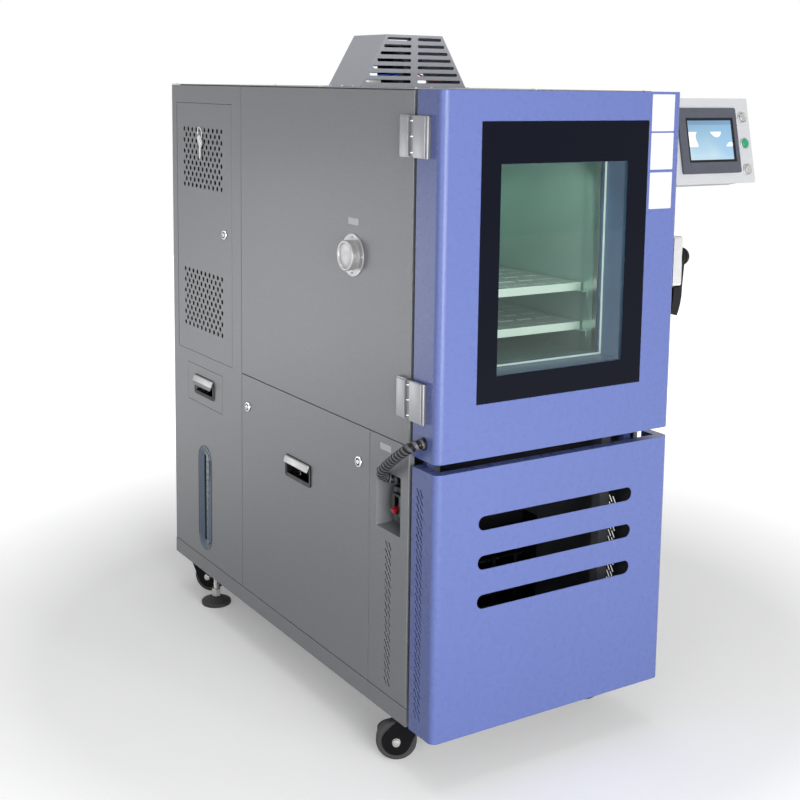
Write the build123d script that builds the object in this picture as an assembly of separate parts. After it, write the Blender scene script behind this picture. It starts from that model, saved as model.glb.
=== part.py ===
from build123d import *
import math
import os

os.makedirs("parts", exist_ok=True)

# Environmental test chamber: a sheet metal cabinet with a windowed chamber at the top,
# the machine room below it and the electrical room behind.
# Working frame, in millimetres: X from the left side, Y from the body's front face
# towards the back, Z up from the body's underside. The last section moves everything
# so that the origin is on the floor, under the middle of the whole object.

# Body
BODY_W = 704.0
BODY_D = 1380.0
BODY_H = 1500.0
MID_X = BODY_W / 2
GROUND = 120.0            # floor to the body's underside
SHEET = 1.5
FLANGE = 15.0
SEAM = 1.0
FOLD_R = 2.2               # outer radius of a folded panel edge
SKIRT_H = 45.0
MACHINE_TOP = 683.0
REAR_SEAM_Y = 887.0
STRIP_SEAM_Y = 175.0

# Test space and its air duct behind the baffle
CHAMBER_X = (152.0, 552.0)
CHAMBER_Y = (20.0, 742.0)
CHAMBER_Z = (845.0, 1345.0)
BAFFLE_Y = 520.0
FOAM_BACK = 760.0
DECK_Z = 690.0
FAN_XY = (MID_X, 630.0)

# Door and the lower front panel share one bent profile
DOOR_FACE = -112.0
DOOR_BACK = -14.0
DOOR_Z = (667.0, 1499.0)
LOWER_Z = (3.0, 643.0)
BEND_R = 18.0
GLASS_X = (106.5, 597.5)
GLASS_Z = (794.0, 1431.0)
CLEAR_X = (165.0, 539.0)
CLEAR_Z = (854.0, 1336.0)
PANE = 5.0

# Front vent slots
SLOT_LENGTH = 466.0
SLOT_HEIGHT = 34.0
SLOT_TOP_Z = 512.0
SLOT_PITCH = 94.5

# Slanted louvre slits
SLIT_LENGTH = 20.0
SLIT_WIDTH = 4.5
SLIT_ANGLE = -56.0
SLIT_COLUMN_GAP = 14.0
STRIP_SLITS = (86.0, 80.0, 19, 19.0)     # middle Y, lowest Z, rows and pitch

# Door hinges
HINGE_X = -8.0
HINGE_Y = -8.5
HINGE_Z = (799.0, 1395.0)
HINGE_HEIGHT = 94.0
HINGE_PROUD = 15.0
KNUCKLE_R = 7.0
HINGE_PIN_R = 3.5
RUNNING_CLEARANCE = 0.06

# Cable port
PORT_Y = 262.0
PORT_Z = 1098.0
PORT_BORE_R = 25.0
PORT_TUBE_R = 27.5
PLUG_FACE_X = -25.0
PLUG_NECK_X = -16.0

# Door handle on the door's right side
HANDLE_Y = -84.0
HANDLE_Z = 1092.0
HANDLE_PROUD = 32.0
LEVER_SHAFT_R = 8.0

# Control head: a plate leaning back, measured in its own leaning frame
PANEL_TILT = 12.1
PANEL_Y = -60.0
PANEL_Z = 1267.0
PANEL_X = (746.0, 1026.0)
PANEL_HEIGHT = 221.0
HMI_X = (770.0, 974.0)
HMI_S = (27.0, 195.0)
SCREEN_X = (801.0, 955.0)
SCREEN_S = (62.0, 163.0)
BUTTON_X = 1001.0
BUTTON_S = (35.0, 103.0, 171.0)
BUTTON_R = 11.0

# Rear left side: access door, filler drawer, level gauge
ACCESS_Y = (948.5, 1338.5)
ACCESS_Z = (687.0, 1444.0)
ACCESS_PIVOT = (6.0, 1333.0)
ACCESS_LOCK = (996.0, 1070.0)
DRAWER_Y = (1019.0, 1271.0)
DRAWER_Z = (532.0, 647.0)
GAUGE_Y = 1148.5
GAUGE_Z = (76.0, 406.0)
GAUGE_W = 93.0

# Middle access panel
MID_LOCKS = ((225.0, 592.0), (845.0, 594.0))
PULL_Y = 540.0
PULL_Z = 487.0
PULL_W = 140.0
PULL_H = 60.0

# Breaker recess in the front strip
RECESS_Y = (32.0, 144.0)
RECESS_Z = (455.0, 602.0)
RECESS_DEPTH = 58.0

# Vent hood
HOOD_Y = (545.0, 715.0)
HOOD_BASE_W = 340.0
HOOD_TOP_W = 178.0
HOOD_H = 139.0

# Casters and levelling feet
WHEEL_R = 50.0
WHEEL_W = 30.0
CASTER_TRAIL = 38.0
CASTER_INSET = 58.0
KINGPIN_R = 6.0
FOOT_PAD_R = 46.0
FOOT_POINTS = ((96.0, 194.0), (BODY_W - 96.0, 194.0), (50.0, 1182.0), (BODY_W - 50.0, 1182.0))

# Rear fittings
SPIGOT_END_Y = 1420.0
SPIGOT = (600.0, 110.0)
GLAND = (120.0, 160.0)

# Spiral wrapped cable from the door's side into the breaker recess
CABLE_R = 12.5
CABLE_ROUTE = (
    (-0.6, -60.0, 706.0),
    (-30.0, -60.0, 706.0),
    (-34.0, -15.0, 675.0),
    (-33.0, 36.0, 640.0),
    (-30.0, 76.0, 609.0),
    (-8.0, 96.0, 588.0),
    (24.0, 78.0, 581.0),
    (56.2, 78.0, 581.0),
)

DIRECTIONS = {"X": (1, 0, 0), "Y": (0, 1, 0), "Z": (0, 0, 1)}
TILT = Pos(0, PANEL_Y, PANEL_Z) * Rot(-PANEL_TILT, 0, 0)


# Basic forms

def block(x0, x1, y0, y1, z0, z1):
    """Box between two opposite corners."""
    return Pos((x0 + x1) / 2, (y0 + y1) / 2, (z0 + z1) / 2) * Box(x1 - x0, y1 - y0, z1 - z0)


def rod(x, y, z, axis, radius, length):
    """Cylinder that starts at a point and runs along one axis."""
    plane = Plane(origin=(x, y, z), z_dir=DIRECTIONS[axis])
    return extrude(plane * Circle(radius), length)


def tube(x, y, z, axis, radius, bore, length):
    """Straight tube that starts at a point and runs along one axis."""
    return rod(x, y, z, axis, radius, length) - rod(x, y, z, axis, bore, length)


def side_plane(y, z, x=0.0):
    """Plane on a side wall: its own x runs towards the front, its own y runs up."""
    return Plane(origin=(x, y, z), x_dir=(0, -1, 0), z_dir=(-1, 0, 0))


def front_plane(x, z, y=0.0):
    """Plane on a front or back wall: its own x runs right, its own y runs up."""
    return Plane(origin=(x, y, z), x_dir=(1, 0, 0), z_dir=(0, -1, 0))


def tray(x0, x1, y0, y1, z0, z1, open_side, wall=SHEET):
    """Sheet panel with its four edges folded towards its open side."""
    cut = [x0 + wall, x1 - wall, y0 + wall, y1 - wall, z0 + wall, z1 - wall]
    place = {"-X": 0, "+X": 1, "-Y": 2, "+Y": 3, "-Z": 4, "+Z": 5}[open_side]
    cut[place] += wall * (2 if place % 2 else -2)
    outer = block(x0, x1, y0, y1, z0, z1)
    faces = outer.faces().sort_by((Axis.X, Axis.Y, Axis.Z)[place // 2])
    closed = faces[0] if place % 2 else faces[-1]
    return fillet(closed.edges(), FOLD_R) - block(*cut)


def slit_columns(x, y, z_low, rows, pitch):
    """Two columns of slanted slits through a side wall."""
    cutters = []
    for column in (-0.5, 0.5):
        for row in range(rows):
            plane = side_plane(y + column * SLIT_COLUMN_GAP, z_low + row * pitch, x)
            outline = plane * Rot(0, 0, SLIT_ANGLE) * Rectangle(SLIT_LENGTH, SLIT_WIDTH)
            cutters.append(extrude(outline, 3 * SHEET, both=True))
    return cutters


def bent_profile(inset, back):
    """Plan outline of the door: square at the back, with two round front corners."""
    y_front = DOOR_FACE + inset
    outline = Pos(MID_X, (y_front + back) / 2) * Rectangle(BODY_W - 2 * inset, back - y_front)
    corners = outline.vertices().sort_by(Axis.Y)[:2]
    return fillet(corners, BEND_R - inset)


def bent_pan(z_low, z_high):
    """Bent front pan, open at the back, with turned-in top and bottom edges."""
    edge = 26.0
    outline = bent_profile(0, DOOR_BACK)
    wall = extrude(Pos(0, 0, z_low) * (outline - bent_profile(SHEET, DOOR_BACK + SHEET)), z_high - z_low)
    turned = outline - Pos(MID_X, DOOR_BACK) * Rectangle(BODY_W - 2 * edge, 2 * (DOOR_BACK - DOOR_FACE - edge))
    for z in (z_low, z_high - SHEET):
        wall += extrude(Pos(0, 0, z) * turned, SHEET)
    return wall


def window_ring(grow_out, grow_in, y0, y1, span_x=GLASS_X, span_z=GLASS_Z):
    """Rectangular ring round the window, between two outlines."""
    outer = block(span_x[0] - grow_out, span_x[1] + grow_out, y0, y1, span_z[0] - grow_out, span_z[1] + grow_out)
    return outer - block(
        span_x[0] - grow_in, span_x[1] + grow_in, y0 - 1, y1 + 1, span_z[0] - grow_in, span_z[1] + grow_in
    )


# Cabinet structure

def base_frame():
    """Skirted tray, caster plates and the table that carries the chamber."""
    floor = block(0, BODY_W, 0, BODY_D, 0, SKIRT_H) - block(3, BODY_W - 3, 3, BODY_D - 3, 3, SKIRT_H - 3)
    floor -= block(130, BODY_W - 130, 240, 1130, -1, 4)
    post, inset = 30.0, FLANGE + 2
    for x in (72.0, BODY_W - 72.0 - post):
        for y in (22, 830):
            floor += block(x, x + post, y, y + post, SKIRT_H - 1, DECK_Z - 4)
    floor += block(inset, BODY_W - inset, 22, 860, DECK_Z - 4, DECK_Z)
    for x in (CASTER_INSET, BODY_W - CASTER_INSET):
        for y in (CASTER_INSET, BODY_D - CASTER_INSET):
            floor += block(x - 45, x + 45, y - 45, y + 45, -4, 0)
            floor += rod(x, y, -15, "Z", KINGPIN_R, 15)
    return floor


def left_upper_panel():
    """Large left panel that carries the cable port."""
    panel = tray(0, FLANGE, 0, REAR_SEAM_Y - SEAM, MACHINE_TOP + SEAM, BODY_H - 2 * SHEET, "+X")
    return panel - rod(-1, PORT_Y, PORT_Z, "X", PORT_TUBE_R + 0.3, 4)


def front_strip():
    """Narrow panel beside the lower front, with the breaker recess and slits."""
    panel = tray(0, FLANGE, 0, STRIP_SEAM_Y - SEAM, SKIRT_H + SEAM, MACHINE_TOP, "+X")
    mid_y, mid_z = sum(RECESS_Y) / 2, sum(RECESS_Z) / 2
    width, height = RECESS_Y[1] - RECESS_Y[0], RECESS_Z[1] - RECESS_Z[0]
    taper = 14.0

    def tub(x0, x1, shrink):
        """Tapered block from the opening to the recess's floor."""
        mouth = side_plane(mid_y, mid_z, x0) * RectangleRounded(width - shrink, height - shrink, 4)
        base = side_plane(mid_y, mid_z, x1) * RectangleRounded(
            width - shrink - 2 * taper, height - shrink - taper, 4
        )
        return loft([mouth, base])

    shell = tub(0, RECESS_DEPTH, 0) - tub(-SHEET, RECESS_DEPTH - SHEET, 2 * SHEET)
    panel -= extrude(side_plane(mid_y, mid_z) * RectangleRounded(width - 1, height - 1, 4), 5, both=True)
    panel += shell
    return panel - slit_columns(0, *STRIP_SLITS)


def rear_left_panel():
    """Rear part of the left side, open for the access door, drawer and gauge."""
    panel = tray(0, FLANGE, REAR_SEAM_Y, BODY_D - SHEET, SKIRT_H + SEAM, BODY_H - 2 * SHEET, "+X")
    y0, y1 = ACCESS_Y[0] - SEAM, ACCESS_Y[1] + 3.2
    z0, z1 = ACCESS_Z[0] - SEAM, ACCESS_Z[1] + SEAM
    panel += block(SHEET, FLANGE, y0 - SHEET, y1 + SHEET, z0 - SHEET, z1 + SHEET)
    panel -= block(-1, FLANGE + 1, y0, y1, z0, z1)
    for z in (z0 - SHEET - 0.5, z1 - 0.5):
        panel -= rod(ACCESS_PIVOT[0], ACCESS_PIVOT[1], z, "Z", 2.5 + RUNNING_CLEARANCE, SHEET + 1)
    panel -= block(-1, SHEET + 1, DRAWER_Y[0] - SEAM, DRAWER_Y[1] + SEAM, DRAWER_Z[0] - SEAM, DRAWER_Z[1] + SEAM)
    gauge = side_plane(GAUGE_Y, sum(GAUGE_Z) / 2) * Rot(0, 0, 90)
    return panel - extrude(gauge * SlotOverall(GAUGE_Z[1] - GAUGE_Z[0] - 16, GAUGE_W - 16), 4, both=True)


def right_side_panel():
    """Plain right side with the same columns of slits as the front strip."""
    panel = tray(BODY_W - FLANGE, BODY_W, 0, BODY_D - SHEET, SKIRT_H + SEAM, BODY_H - 2 * SHEET, "-X")
    return panel - slit_columns(BODY_W, *STRIP_SLITS)


def rear_panel():
    """Back panel with the exhaust slots, the drain spigot and the mains gland."""
    panel = tray(FLANGE + 1, BODY_W - FLANGE - 1, BODY_D - FLANGE, BODY_D, SKIRT_H + SEAM, BODY_H - 2 * SHEET, "-Y")
    for x in (200.0, 370.0):
        for row in range(10):
            panel -= block(x, x + 140, BODY_D - 3, BODY_D + 1, 1100 + 26 * row, 1109 + 26 * row)
    x, z = SPIGOT
    panel += rod(x, BODY_D - 6, z, "Y", 16, 12)
    panel += rod(x, BODY_D - 6, z, "Y", 10, SPIGOT_END_Y - BODY_D + 6)
    panel -= rod(x, BODY_D - 8, z, "Y", 7, SPIGOT_END_Y - BODY_D + 10)
    x, z = GLAND
    nut = extrude(front_plane(x, z, BODY_D + 8) * RegularPolygon(19, 6), 8)
    panel += nut + rod(x, BODY_D - 6, z, "Y", 14, 32)
    return panel - rod(x, BODY_D - 8, z, "Y", 8, 40)


def top_cover():
    """Roof sheet with turned-down edges and the fan shaft's hole."""
    roof = block(0, BODY_W, 0, BODY_D, BODY_H - SHEET, BODY_H)
    roof = fillet(roof.faces().sort_by(Axis.Z)[-1].edges(), SHEET - 0.2)
    roof += block(20, BODY_W - 20, 21, BODY_D - 20, BODY_H - 4, BODY_H - SHEET)
    roof -= block(20 + SHEET, BODY_W - 20 - SHEET, 21 + SHEET, BODY_D - 20 - SHEET, BODY_H - 5, BODY_H - SHEET)
    return roof - rod(*FAN_XY, BODY_H - 6, "Z", 14, 8)


def front_frame():
    """Stainless mouth frame of the chamber, with the handle's keeper."""
    x0, x1 = FLANGE + 0.5, BODY_W - FLANGE - 0.5
    z0, z1 = MACHINE_TOP + 3.5, BODY_H - 4
    depth, wall = CHAMBER_Y[0], 2.0
    frame = block(x0, x1, 0, depth, z0, z1) - block(x0 + wall, x1 - wall, wall, depth + 1, z0 + wall, z1 - wall)
    mouth = (CHAMBER_X[0] - wall, CHAMBER_X[1] + wall, CHAMBER_Z[0] - wall, CHAMBER_Z[1] + wall)
    frame += block(mouth[0], mouth[1], 0, depth, mouth[2], mouth[3])
    frame -= block(*CHAMBER_X, -1, depth + 1, *CHAMBER_Z)
    keeper = block(650, 730, -3, 0, 1045, 1105) + block(706, 730, -3, 26, 1045, 1105)
    return frame + keeper - block(712, 724, 4, 20, 1040, 1110)


def inner_liner():
    """Stainless test space and duct, open at the front, with two pairs of shelf rails."""
    x0, x1 = CHAMBER_X
    y0, y1 = CHAMBER_Y
    z0, z1 = CHAMBER_Z
    liner = block(x0 - SHEET, x1 + SHEET, y0, y1 + SHEET, z0 - SHEET, z1 + SHEET)
    liner -= block(x0, x1, y0 - 1, y1, z0, z1)
    liner -= rod(x0 - 4, PORT_Y, PORT_Z, "X", PORT_TUBE_R + 0.3, 6)
    liner -= rod(*FAN_XY, z1 - 1, "Z", 12, 4)
    for shelf_z in SHELF_Z:
        top = shelf_z - SHELF_LIP - 0.4
        for wall_x, way in ((x0, 1), (x1, -1)):
            near, far = sorted((wall_x, wall_x + way * 16))
            liner += block(near, far, 40, 505, top - SHEET, top)
            near, far = sorted((wall_x, wall_x + way * SHEET))
            liner += block(near, far, 40, 505, top - 16, top)
    return liner


def insulation():
    """Foam between the liner and the casing."""
    foam = block(SHEET, BODY_W - SHEET, CHAMBER_Y[0], FOAM_BACK, DECK_Z, BODY_H - 5)
    foam -= block(
        CHAMBER_X[0] - SHEET, CHAMBER_X[1] + SHEET, 0, CHAMBER_Y[1] + SHEET, CHAMBER_Z[0] - SHEET, CHAMBER_Z[1] + SHEET
    )
    foam -= rod(0, PORT_Y, PORT_Z, "X", PORT_TUBE_R + 0.3, CHAMBER_X[0])
    return foam - rod(*FAN_XY, CHAMBER_Z[1], "Z", 14, 160)


def air_baffle():
    """Sheet between the test space and the duct: outlets at the top, returns below."""
    z0, z1 = CHAMBER_Z
    baffle = block(CHAMBER_X[0] + 0.5, CHAMBER_X[1] - 0.5, BAFFLE_Y - SHEET, BAFFLE_Y, z0 + 0.5, z1 - 0.5)
    for column in range(5):
        x = 172 + 74 * column
        for z in (1262, 1284, 1306):
            baffle -= block(x, x + 64, BAFFLE_Y - 3, BAFFLE_Y + 1, z, z + 12)
        for z in (865, 883, 901):
            baffle -= block(x, x + 64, BAFFLE_Y - 3, BAFFLE_Y + 1, z, z + 9)
    return baffle


def evaporator_coil():
    """Finned cooling coil that stands in the duct under the fan."""
    coil = None
    fins, x0, pitch = 12, 190.0, 29.0
    for fin in range(fins):
        end = fin in (0, fins - 1)
        sheet = block(x0 + fin * pitch, x0 + fin * pitch + 2, 570, 690, CHAMBER_Z[0] + (1 if end else 55), 1080)
        coil = sheet if coil is None else coil + sheet
    for y in (600, 660):
        for z in (930, 990, 1050):
            coil += rod(x0 - 12, y, z, "X", 7, (fins - 1) * pitch + 26)
    for z in (930, 990, 1050):
        coil += block(x0 - 16, x0 - 8, 594, 666, z - 6, z + 6)
    return coil


def port_sleeve():
    """Flanged tube of the cable port through the left wall."""
    sleeve = rod(-3, PORT_Y, PORT_Z, "X", 52.5, 3) + rod(PLUG_NECK_X, PORT_Y, PORT_Z, "X", 36, 14)
    sleeve += rod(-3, PORT_Y, PORT_Z, "X", PORT_TUBE_R, CHAMBER_X[0] + 2)
    for angle in range(0, 360, 90):
        y = PORT_Y + 44.5 * math.sin(math.radians(angle))
        z = PORT_Z + 44.5 * math.cos(math.radians(angle))
        sleeve -= rod(-4, y, z, "X", 2.2, 5)
    return sleeve - rod(PLUG_NECK_X - 1, PORT_Y, PORT_Z, "X", PORT_BORE_R, CHAMBER_X[0] + 30)


def vent_hood():
    """Tapered roof hood with seven rows of slots in its front and back."""

    def prism(shrink, drop):
        """Trapezoid that runs from front to back."""
        half_base, half_top = HOOD_BASE_W / 2 - shrink, HOOD_TOP_W / 2 - shrink
        outline = Polygon(
            (-half_base, -drop), (half_base, -drop), (half_top, HOOD_H - shrink), (-half_top, HOOD_H - shrink),
            align=None,
        )
        return extrude(front_plane(MID_X, BODY_H, HOOD_Y[1] - shrink) * outline, HOOD_Y[1] - HOOD_Y[0] - 2 * shrink)

    hood = prism(0, 0) - prism(SHEET, SHEET)
    rows, pitch, height, web = 7, 18.7, 8.0, 21.0
    for row in range(rows):
        z = BODY_H + 15.5 + row * pitch
        half = HOOD_BASE_W / 2 - (HOOD_BASE_W - HOOD_TOP_W) / 2 * (z - BODY_H) / HOOD_H - 10
        length = half - web / 2
        for side in (-1, 1):
            plane = front_plane(MID_X + side * (web / 2 + length / 2), z, sum(HOOD_Y) / 2)
            hood -= extrude(plane * SlotOverall(length, height), 100, both=True)
    for x0, x1 in ((MID_X - HOOD_BASE_W / 2 - 12, MID_X - HOOD_BASE_W / 2 + SHEET),
                   (MID_X + HOOD_BASE_W / 2 - SHEET, MID_X + HOOD_BASE_W / 2 + 12)):
        hood += block(x0, x1, *HOOD_Y, BODY_H, BODY_H + SHEET)
    return hood


def lower_front_panel():
    """Bent cover of the machine room: three long slots and slits in both returns."""
    panel = bent_pan(*LOWER_Z)
    for row in range(3):
        plane = front_plane(MID_X + 1, SLOT_TOP_Z - row * SLOT_PITCH, DOOR_FACE)
        panel -= extrude(plane * SlotOverall(SLOT_LENGTH, SLOT_HEIGHT), 4, both=True)
    panel -= slit_columns(0, -47.0, 50.0, 31, 17.9) + slit_columns(BODY_W, -47.0, 50.0, 31, 17.9)
    lug_w, lug_h, lug_inset = 22.0, 40.0, 40.0
    for x in (lug_inset, BODY_W - lug_inset - lug_w):
        for z in (LOWER_Z[0], LOWER_Z[1] - lug_h):
            panel += block(x, x + lug_w, DOOR_BACK - 1, 0, z, z + lug_h)
    return panel


# Door

def door_shell():
    """Bent outer pan of the door with the window's rebate."""
    shell = bent_pan(*DOOR_Z)
    shell -= window_opening(0.5, DOOR_FACE - 1, DOOR_FACE + SHEET + 1)
    shell += window_ring(14, 0.5, DOOR_FACE + SHEET, DOOR_FACE + PANE)
    return shell + window_ring(14, -12, DOOR_FACE + PANE, DOOR_FACE + PANE + 3)


def window_opening(grow, y0, y1):
    """Block that cuts the window's opening."""
    return block(GLASS_X[0] - grow, GLASS_X[1] + grow, y0, y1, GLASS_Z[0] - grow, GLASS_Z[1] + grow)


def door_inner_panel():
    """Inner sheet of the door round the window."""
    x0, x1, z0, z1 = 3.0, BODY_W - 3.0, DOOR_Z[0] + 3, DOOR_Z[1] - 3
    panel = tray(x0, x1, DOOR_BACK - FLANGE, DOOR_BACK, z0, z1, "-Y")
    cut = 2.2
    return panel - block(
        CLEAR_X[0] - cut, CLEAR_X[1] + cut, DOOR_BACK - 20, DOOR_BACK + 1, CLEAR_Z[0] - cut, CLEAR_Z[1] + cut
    )


def door_gasket():
    """Silicone seal on the door's inner side, round the chamber's mouth."""
    y0, y1, width, grow = DOOR_BACK, -0.5, 18.0, 34.0
    outer = block(
        CHAMBER_X[0] - grow, CHAMBER_X[1] + grow, y0, y1, CHAMBER_Z[0] - grow, CHAMBER_Z[1] + grow
    )
    outer = fillet(outer.edges().filter_by(Axis.Y), 30)
    grow -= width
    inner = block(
        CHAMBER_X[0] - grow, CHAMBER_X[1] + grow, y0 - 1, y1 + 1, CHAMBER_Z[0] - grow, CHAMBER_Z[1] + grow
    )
    inner = fillet(inner.edges().filter_by(Axis.Y), 12)
    ring = outer - inner
    return fillet(ring.faces().sort_by(Axis.Y)[-1].edges(), 5)


def window_surround():
    """Box frame between the outer pane and the inner panes."""
    wall, y_front, y_back = 2.0, DOOR_FACE + PANE, DOOR_BACK
    frame = window_ring(wall, 0, y_front + 0.1, y_back, CLEAR_X, CLEAR_Z)
    flange_y = DOOR_FACE + PANE + 3
    frame += window_ring(-4, -57.5, flange_y, flange_y + wall, GLASS_X, GLASS_Z)
    return frame + window_ring(0, -7, DOOR_BACK - 18, DOOR_BACK - 9, CLEAR_X, CLEAR_Z)


def window_glass():
    """Outer pane flush with the door and two inner panes on a spacer."""
    outer = block(*GLASS_X, DOOR_FACE, DOOR_FACE + PANE, *GLASS_Z)
    gap = 0.2
    panes = [outer]
    for y in (DOOR_BACK - 18 - 4, DOOR_BACK - 9):
        panes.append(block(CLEAR_X[0] + gap, CLEAR_X[1] - gap, y, y + 4, CLEAR_Z[0] + gap, CLEAR_Z[1] - gap))
    return Compound(children=panes)


def knuckle(z0, z1, plate_y, y_reach, running):
    """One hinge knuckle with the arm that joins it to its plate."""
    low, high = sorted((plate_y, y_reach))
    piece = rod(HINGE_X, HINGE_Y, z0, "Z", KNUCKLE_R, z1 - z0)
    piece += block(HINGE_X - 4, HINGE_X + 4, min(low, HINGE_Y), max(high, HINGE_Y), z0, z1)
    bore = HINGE_PIN_R + (RUNNING_CLEARANCE if running else -1)
    return piece - rod(HINGE_X, HINGE_Y, z0 - 1, "Z", bore, z1 - z0 + 2)


def hinge_side(plate_y0, plate_y1, fixed):
    """Both hinges' plates and knuckles on one side of the pivot."""
    pieces = []
    for centre in HINGE_Z:
        z0, z1 = centre - HINGE_HEIGHT / 2, centre + HINGE_HEIGHT / 2
        plate = block(-HINGE_PROUD, 0, plate_y0, plate_y1, z0, z1)
        plate = fillet(plate.edges().filter_by(Axis.Z).group_by(Axis.X)[0], 5)
        inner_edge = plate_y0 if fixed else plate_y1
        steps = (0.0, 0.17, 0.5, 0.83, 1.0)
        for index in range(4):
            low = z0 + steps[index] * HINGE_HEIGHT + 0.2
            high = z0 + steps[index + 1] * HINGE_HEIGHT - 0.2
            if (index % 2 == 0) == fixed:
                plate += knuckle(low, high, inner_edge, inner_edge + (1 if fixed else -1), not fixed)
        if fixed:
            plate += rod(HINGE_X, HINGE_Y, z0 + 0.2, "Z", HINGE_PIN_R, HINGE_HEIGHT - 0.4)
        pieces.append(plate)
    return Compound(children=pieces)


def fixed_hinge_leaves():
    """Hinge halves on the cabinet, with the pins."""
    return hinge_side(1.5, 39.0, True)


def door_hinge_leaves():
    """Hinge halves on the door."""
    return hinge_side(-78.0, -18.5, False)


def handle_body():
    """Handle housing on the door's side, with the tongue that meets the keeper."""
    x0, x1 = BODY_W, BODY_W + HANDLE_PROUD
    body = block(x0, x1, HANDLE_Y - 20, HANDLE_Y + 20, 1020, 1145)
    body = fillet(body.faces().sort_by(Axis.X)[-1].edges() + body.edges().filter_by(Axis.X), 7)
    tongue = block(x0 + 9, x0 + 19, HANDLE_Y + 15, -6.5, 1058, 1092)
    tongue = chamfer(tongue.faces().sort_by(Axis.Y)[-1].edges(), 3)
    body += tongue
    return body - rod(x0 + 8, HANDLE_Y, HANDLE_Z, "X", LEVER_SHAFT_R + RUNNING_CLEARANCE, HANDLE_PROUD)


def door_lever():
    """Turning lever: shaft, arm, domed cap and a grip that curves to the door."""
    x_arm = BODY_W + HANDLE_PROUD + 1
    arm_t, hub_r, cap_r, cap_h, grip_top = 9.0, 21.0, 23.0, 19.0, 1014.0
    lever = rod(BODY_W + 9, HANDLE_Y, HANDLE_Z, "X", LEVER_SHAFT_R, HANDLE_PROUD)
    lever += rod(x_arm, HANDLE_Y, HANDLE_Z, "X", hub_r, arm_t)
    drop = HANDLE_Z - grip_top
    arm = Plane(origin=(x_arm, HANDLE_Y, HANDLE_Z), x_dir=(0, 1, 0), z_dir=(1, 0, 0)) * Polygon(
        (-16, 0), (-10, -drop), (10, -drop), (16, 0), align=None
    )
    lever += extrude(arm, arm_t)
    cap = rod(x_arm + arm_t, HANDLE_Y, HANDLE_Z, "X", cap_r, cap_h)
    lever += fillet(cap.faces().sort_by(Axis.X)[-1].edges(), cap_h - 0.5)
    outer, inner = x_arm + arm_t, x_arm - 0.5
    top, low = grip_top + 6, grip_top - 70
    shoulder, palm = grip_top + 2, BODY_W + 14
    outline = make_face([
        Line((palm, shoulder), (inner, shoulder)),
        Line((inner, shoulder), (inner, top)),
        Line((inner, top), (outer, top)),
        Line((outer, top), (outer, top - 14)),
        ThreePointArc((outer, top - 14), (outer - 3, low + 34), (outer - 14, low)),
        Line((outer - 14, low), (palm - 7, low + 6)),
        ThreePointArc((palm - 7, low + 6), (palm - 2, low + 36), (palm, shoulder)),
    ])
    grip = extrude(front_plane(0, 0, HANDLE_Y) * outline, 10, both=True)
    grip = fillet(grip.edges().filter_by(Axis.Y), 1.5)
    return lever + grip


# Control head

def control_plate():
    """Leaning front plate with the screen's cut-out and the button rings."""
    x0, x1 = PANEL_X
    plate = block(x0, x1, 0, 2, 0, PANEL_HEIGHT)
    plate = fillet(plate.edges().filter_by(Axis.Y), 3)
    plate -= block(HMI_X[0] + 5, HMI_X[1] - 5, -1, 3, HMI_S[0] + 5, HMI_S[1] - 5)
    for s in BUTTON_S:
        plate += rod(BUTTON_X, -4, s, "Y", BUTTON_R + 4, 4)
        plate -= rod(BUTTON_X, -5, s, "Y", BUTTON_R + 0.35, 8)
    return TILT * plate


def hmi_bezel():
    """Screen unit: dark bezel with a sunk display, and its body behind the plate."""
    bezel = block(*HMI_X, -7, 0, *HMI_S)
    bezel = chamfer(bezel.faces().sort_by(Axis.Y)[0].edges(), 2)
    bezel += block(HMI_X[0] + 6, HMI_X[1] - 6, 0, 34, HMI_S[0] + 6, HMI_S[1] - 6)
    return TILT * (bezel - block(*SCREEN_X, -8, -4.5, *SCREEN_S))


def control_box():
    """Housing behind the plate, with the bracket to the cabinet's side."""
    x0, x1, depth = PANEL_X[0] + 6, PANEL_X[1] - 6, 88.0
    box = block(x0, x1, 2, depth, 6, PANEL_HEIGHT - 6)
    box = fillet(box.edges().filter_by(Axis.Y), 4)
    box -= block(x0 + SHEET, x1 - SHEET, 1, depth - SHEET, 6 + SHEET, PANEL_HEIGHT - 6 - SHEET)
    arm = block(BODY_W, x0 + 1, 4, 22, 1325, 1425) - block(BODY_W - 1, x0 + 2, 6, 20, 1327, 1423)
    foot = block(BODY_W, BODY_W + 3, 2, 60, 1310, 1440)
    return TILT * box + arm + foot


def button(s):
    """Push button that slides in its ring."""
    cap = rod(BUTTON_X, -6.5, s, "Y", BUTTON_R, 20)
    cap = fillet(cap.faces().sort_by(Axis.Y)[0].edges(), 1.5)
    return TILT * cap


# Doors and panels of the left side

def quarter_turn_lock(y, z, cam_way):
    """Round key lock: rim outside, barrel through the sheet and a short cam behind."""
    lock = rod(-6, y, z, "X", 14, 5.6)
    lock = fillet(lock.faces().sort_by(Axis.X)[0].edges(), 1.5)
    lock += rod(-1, y, z, "X", 8, 21)
    low, high = sorted((y, y + cam_way * 30))
    lock += block(17, 19, low - 6 * (cam_way > 0), high + 6 * (cam_way < 0), z - 7, z + 7)
    return lock - block(-7, -4.5, y - 1, y + 1, z - 5, z + 5)


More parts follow.
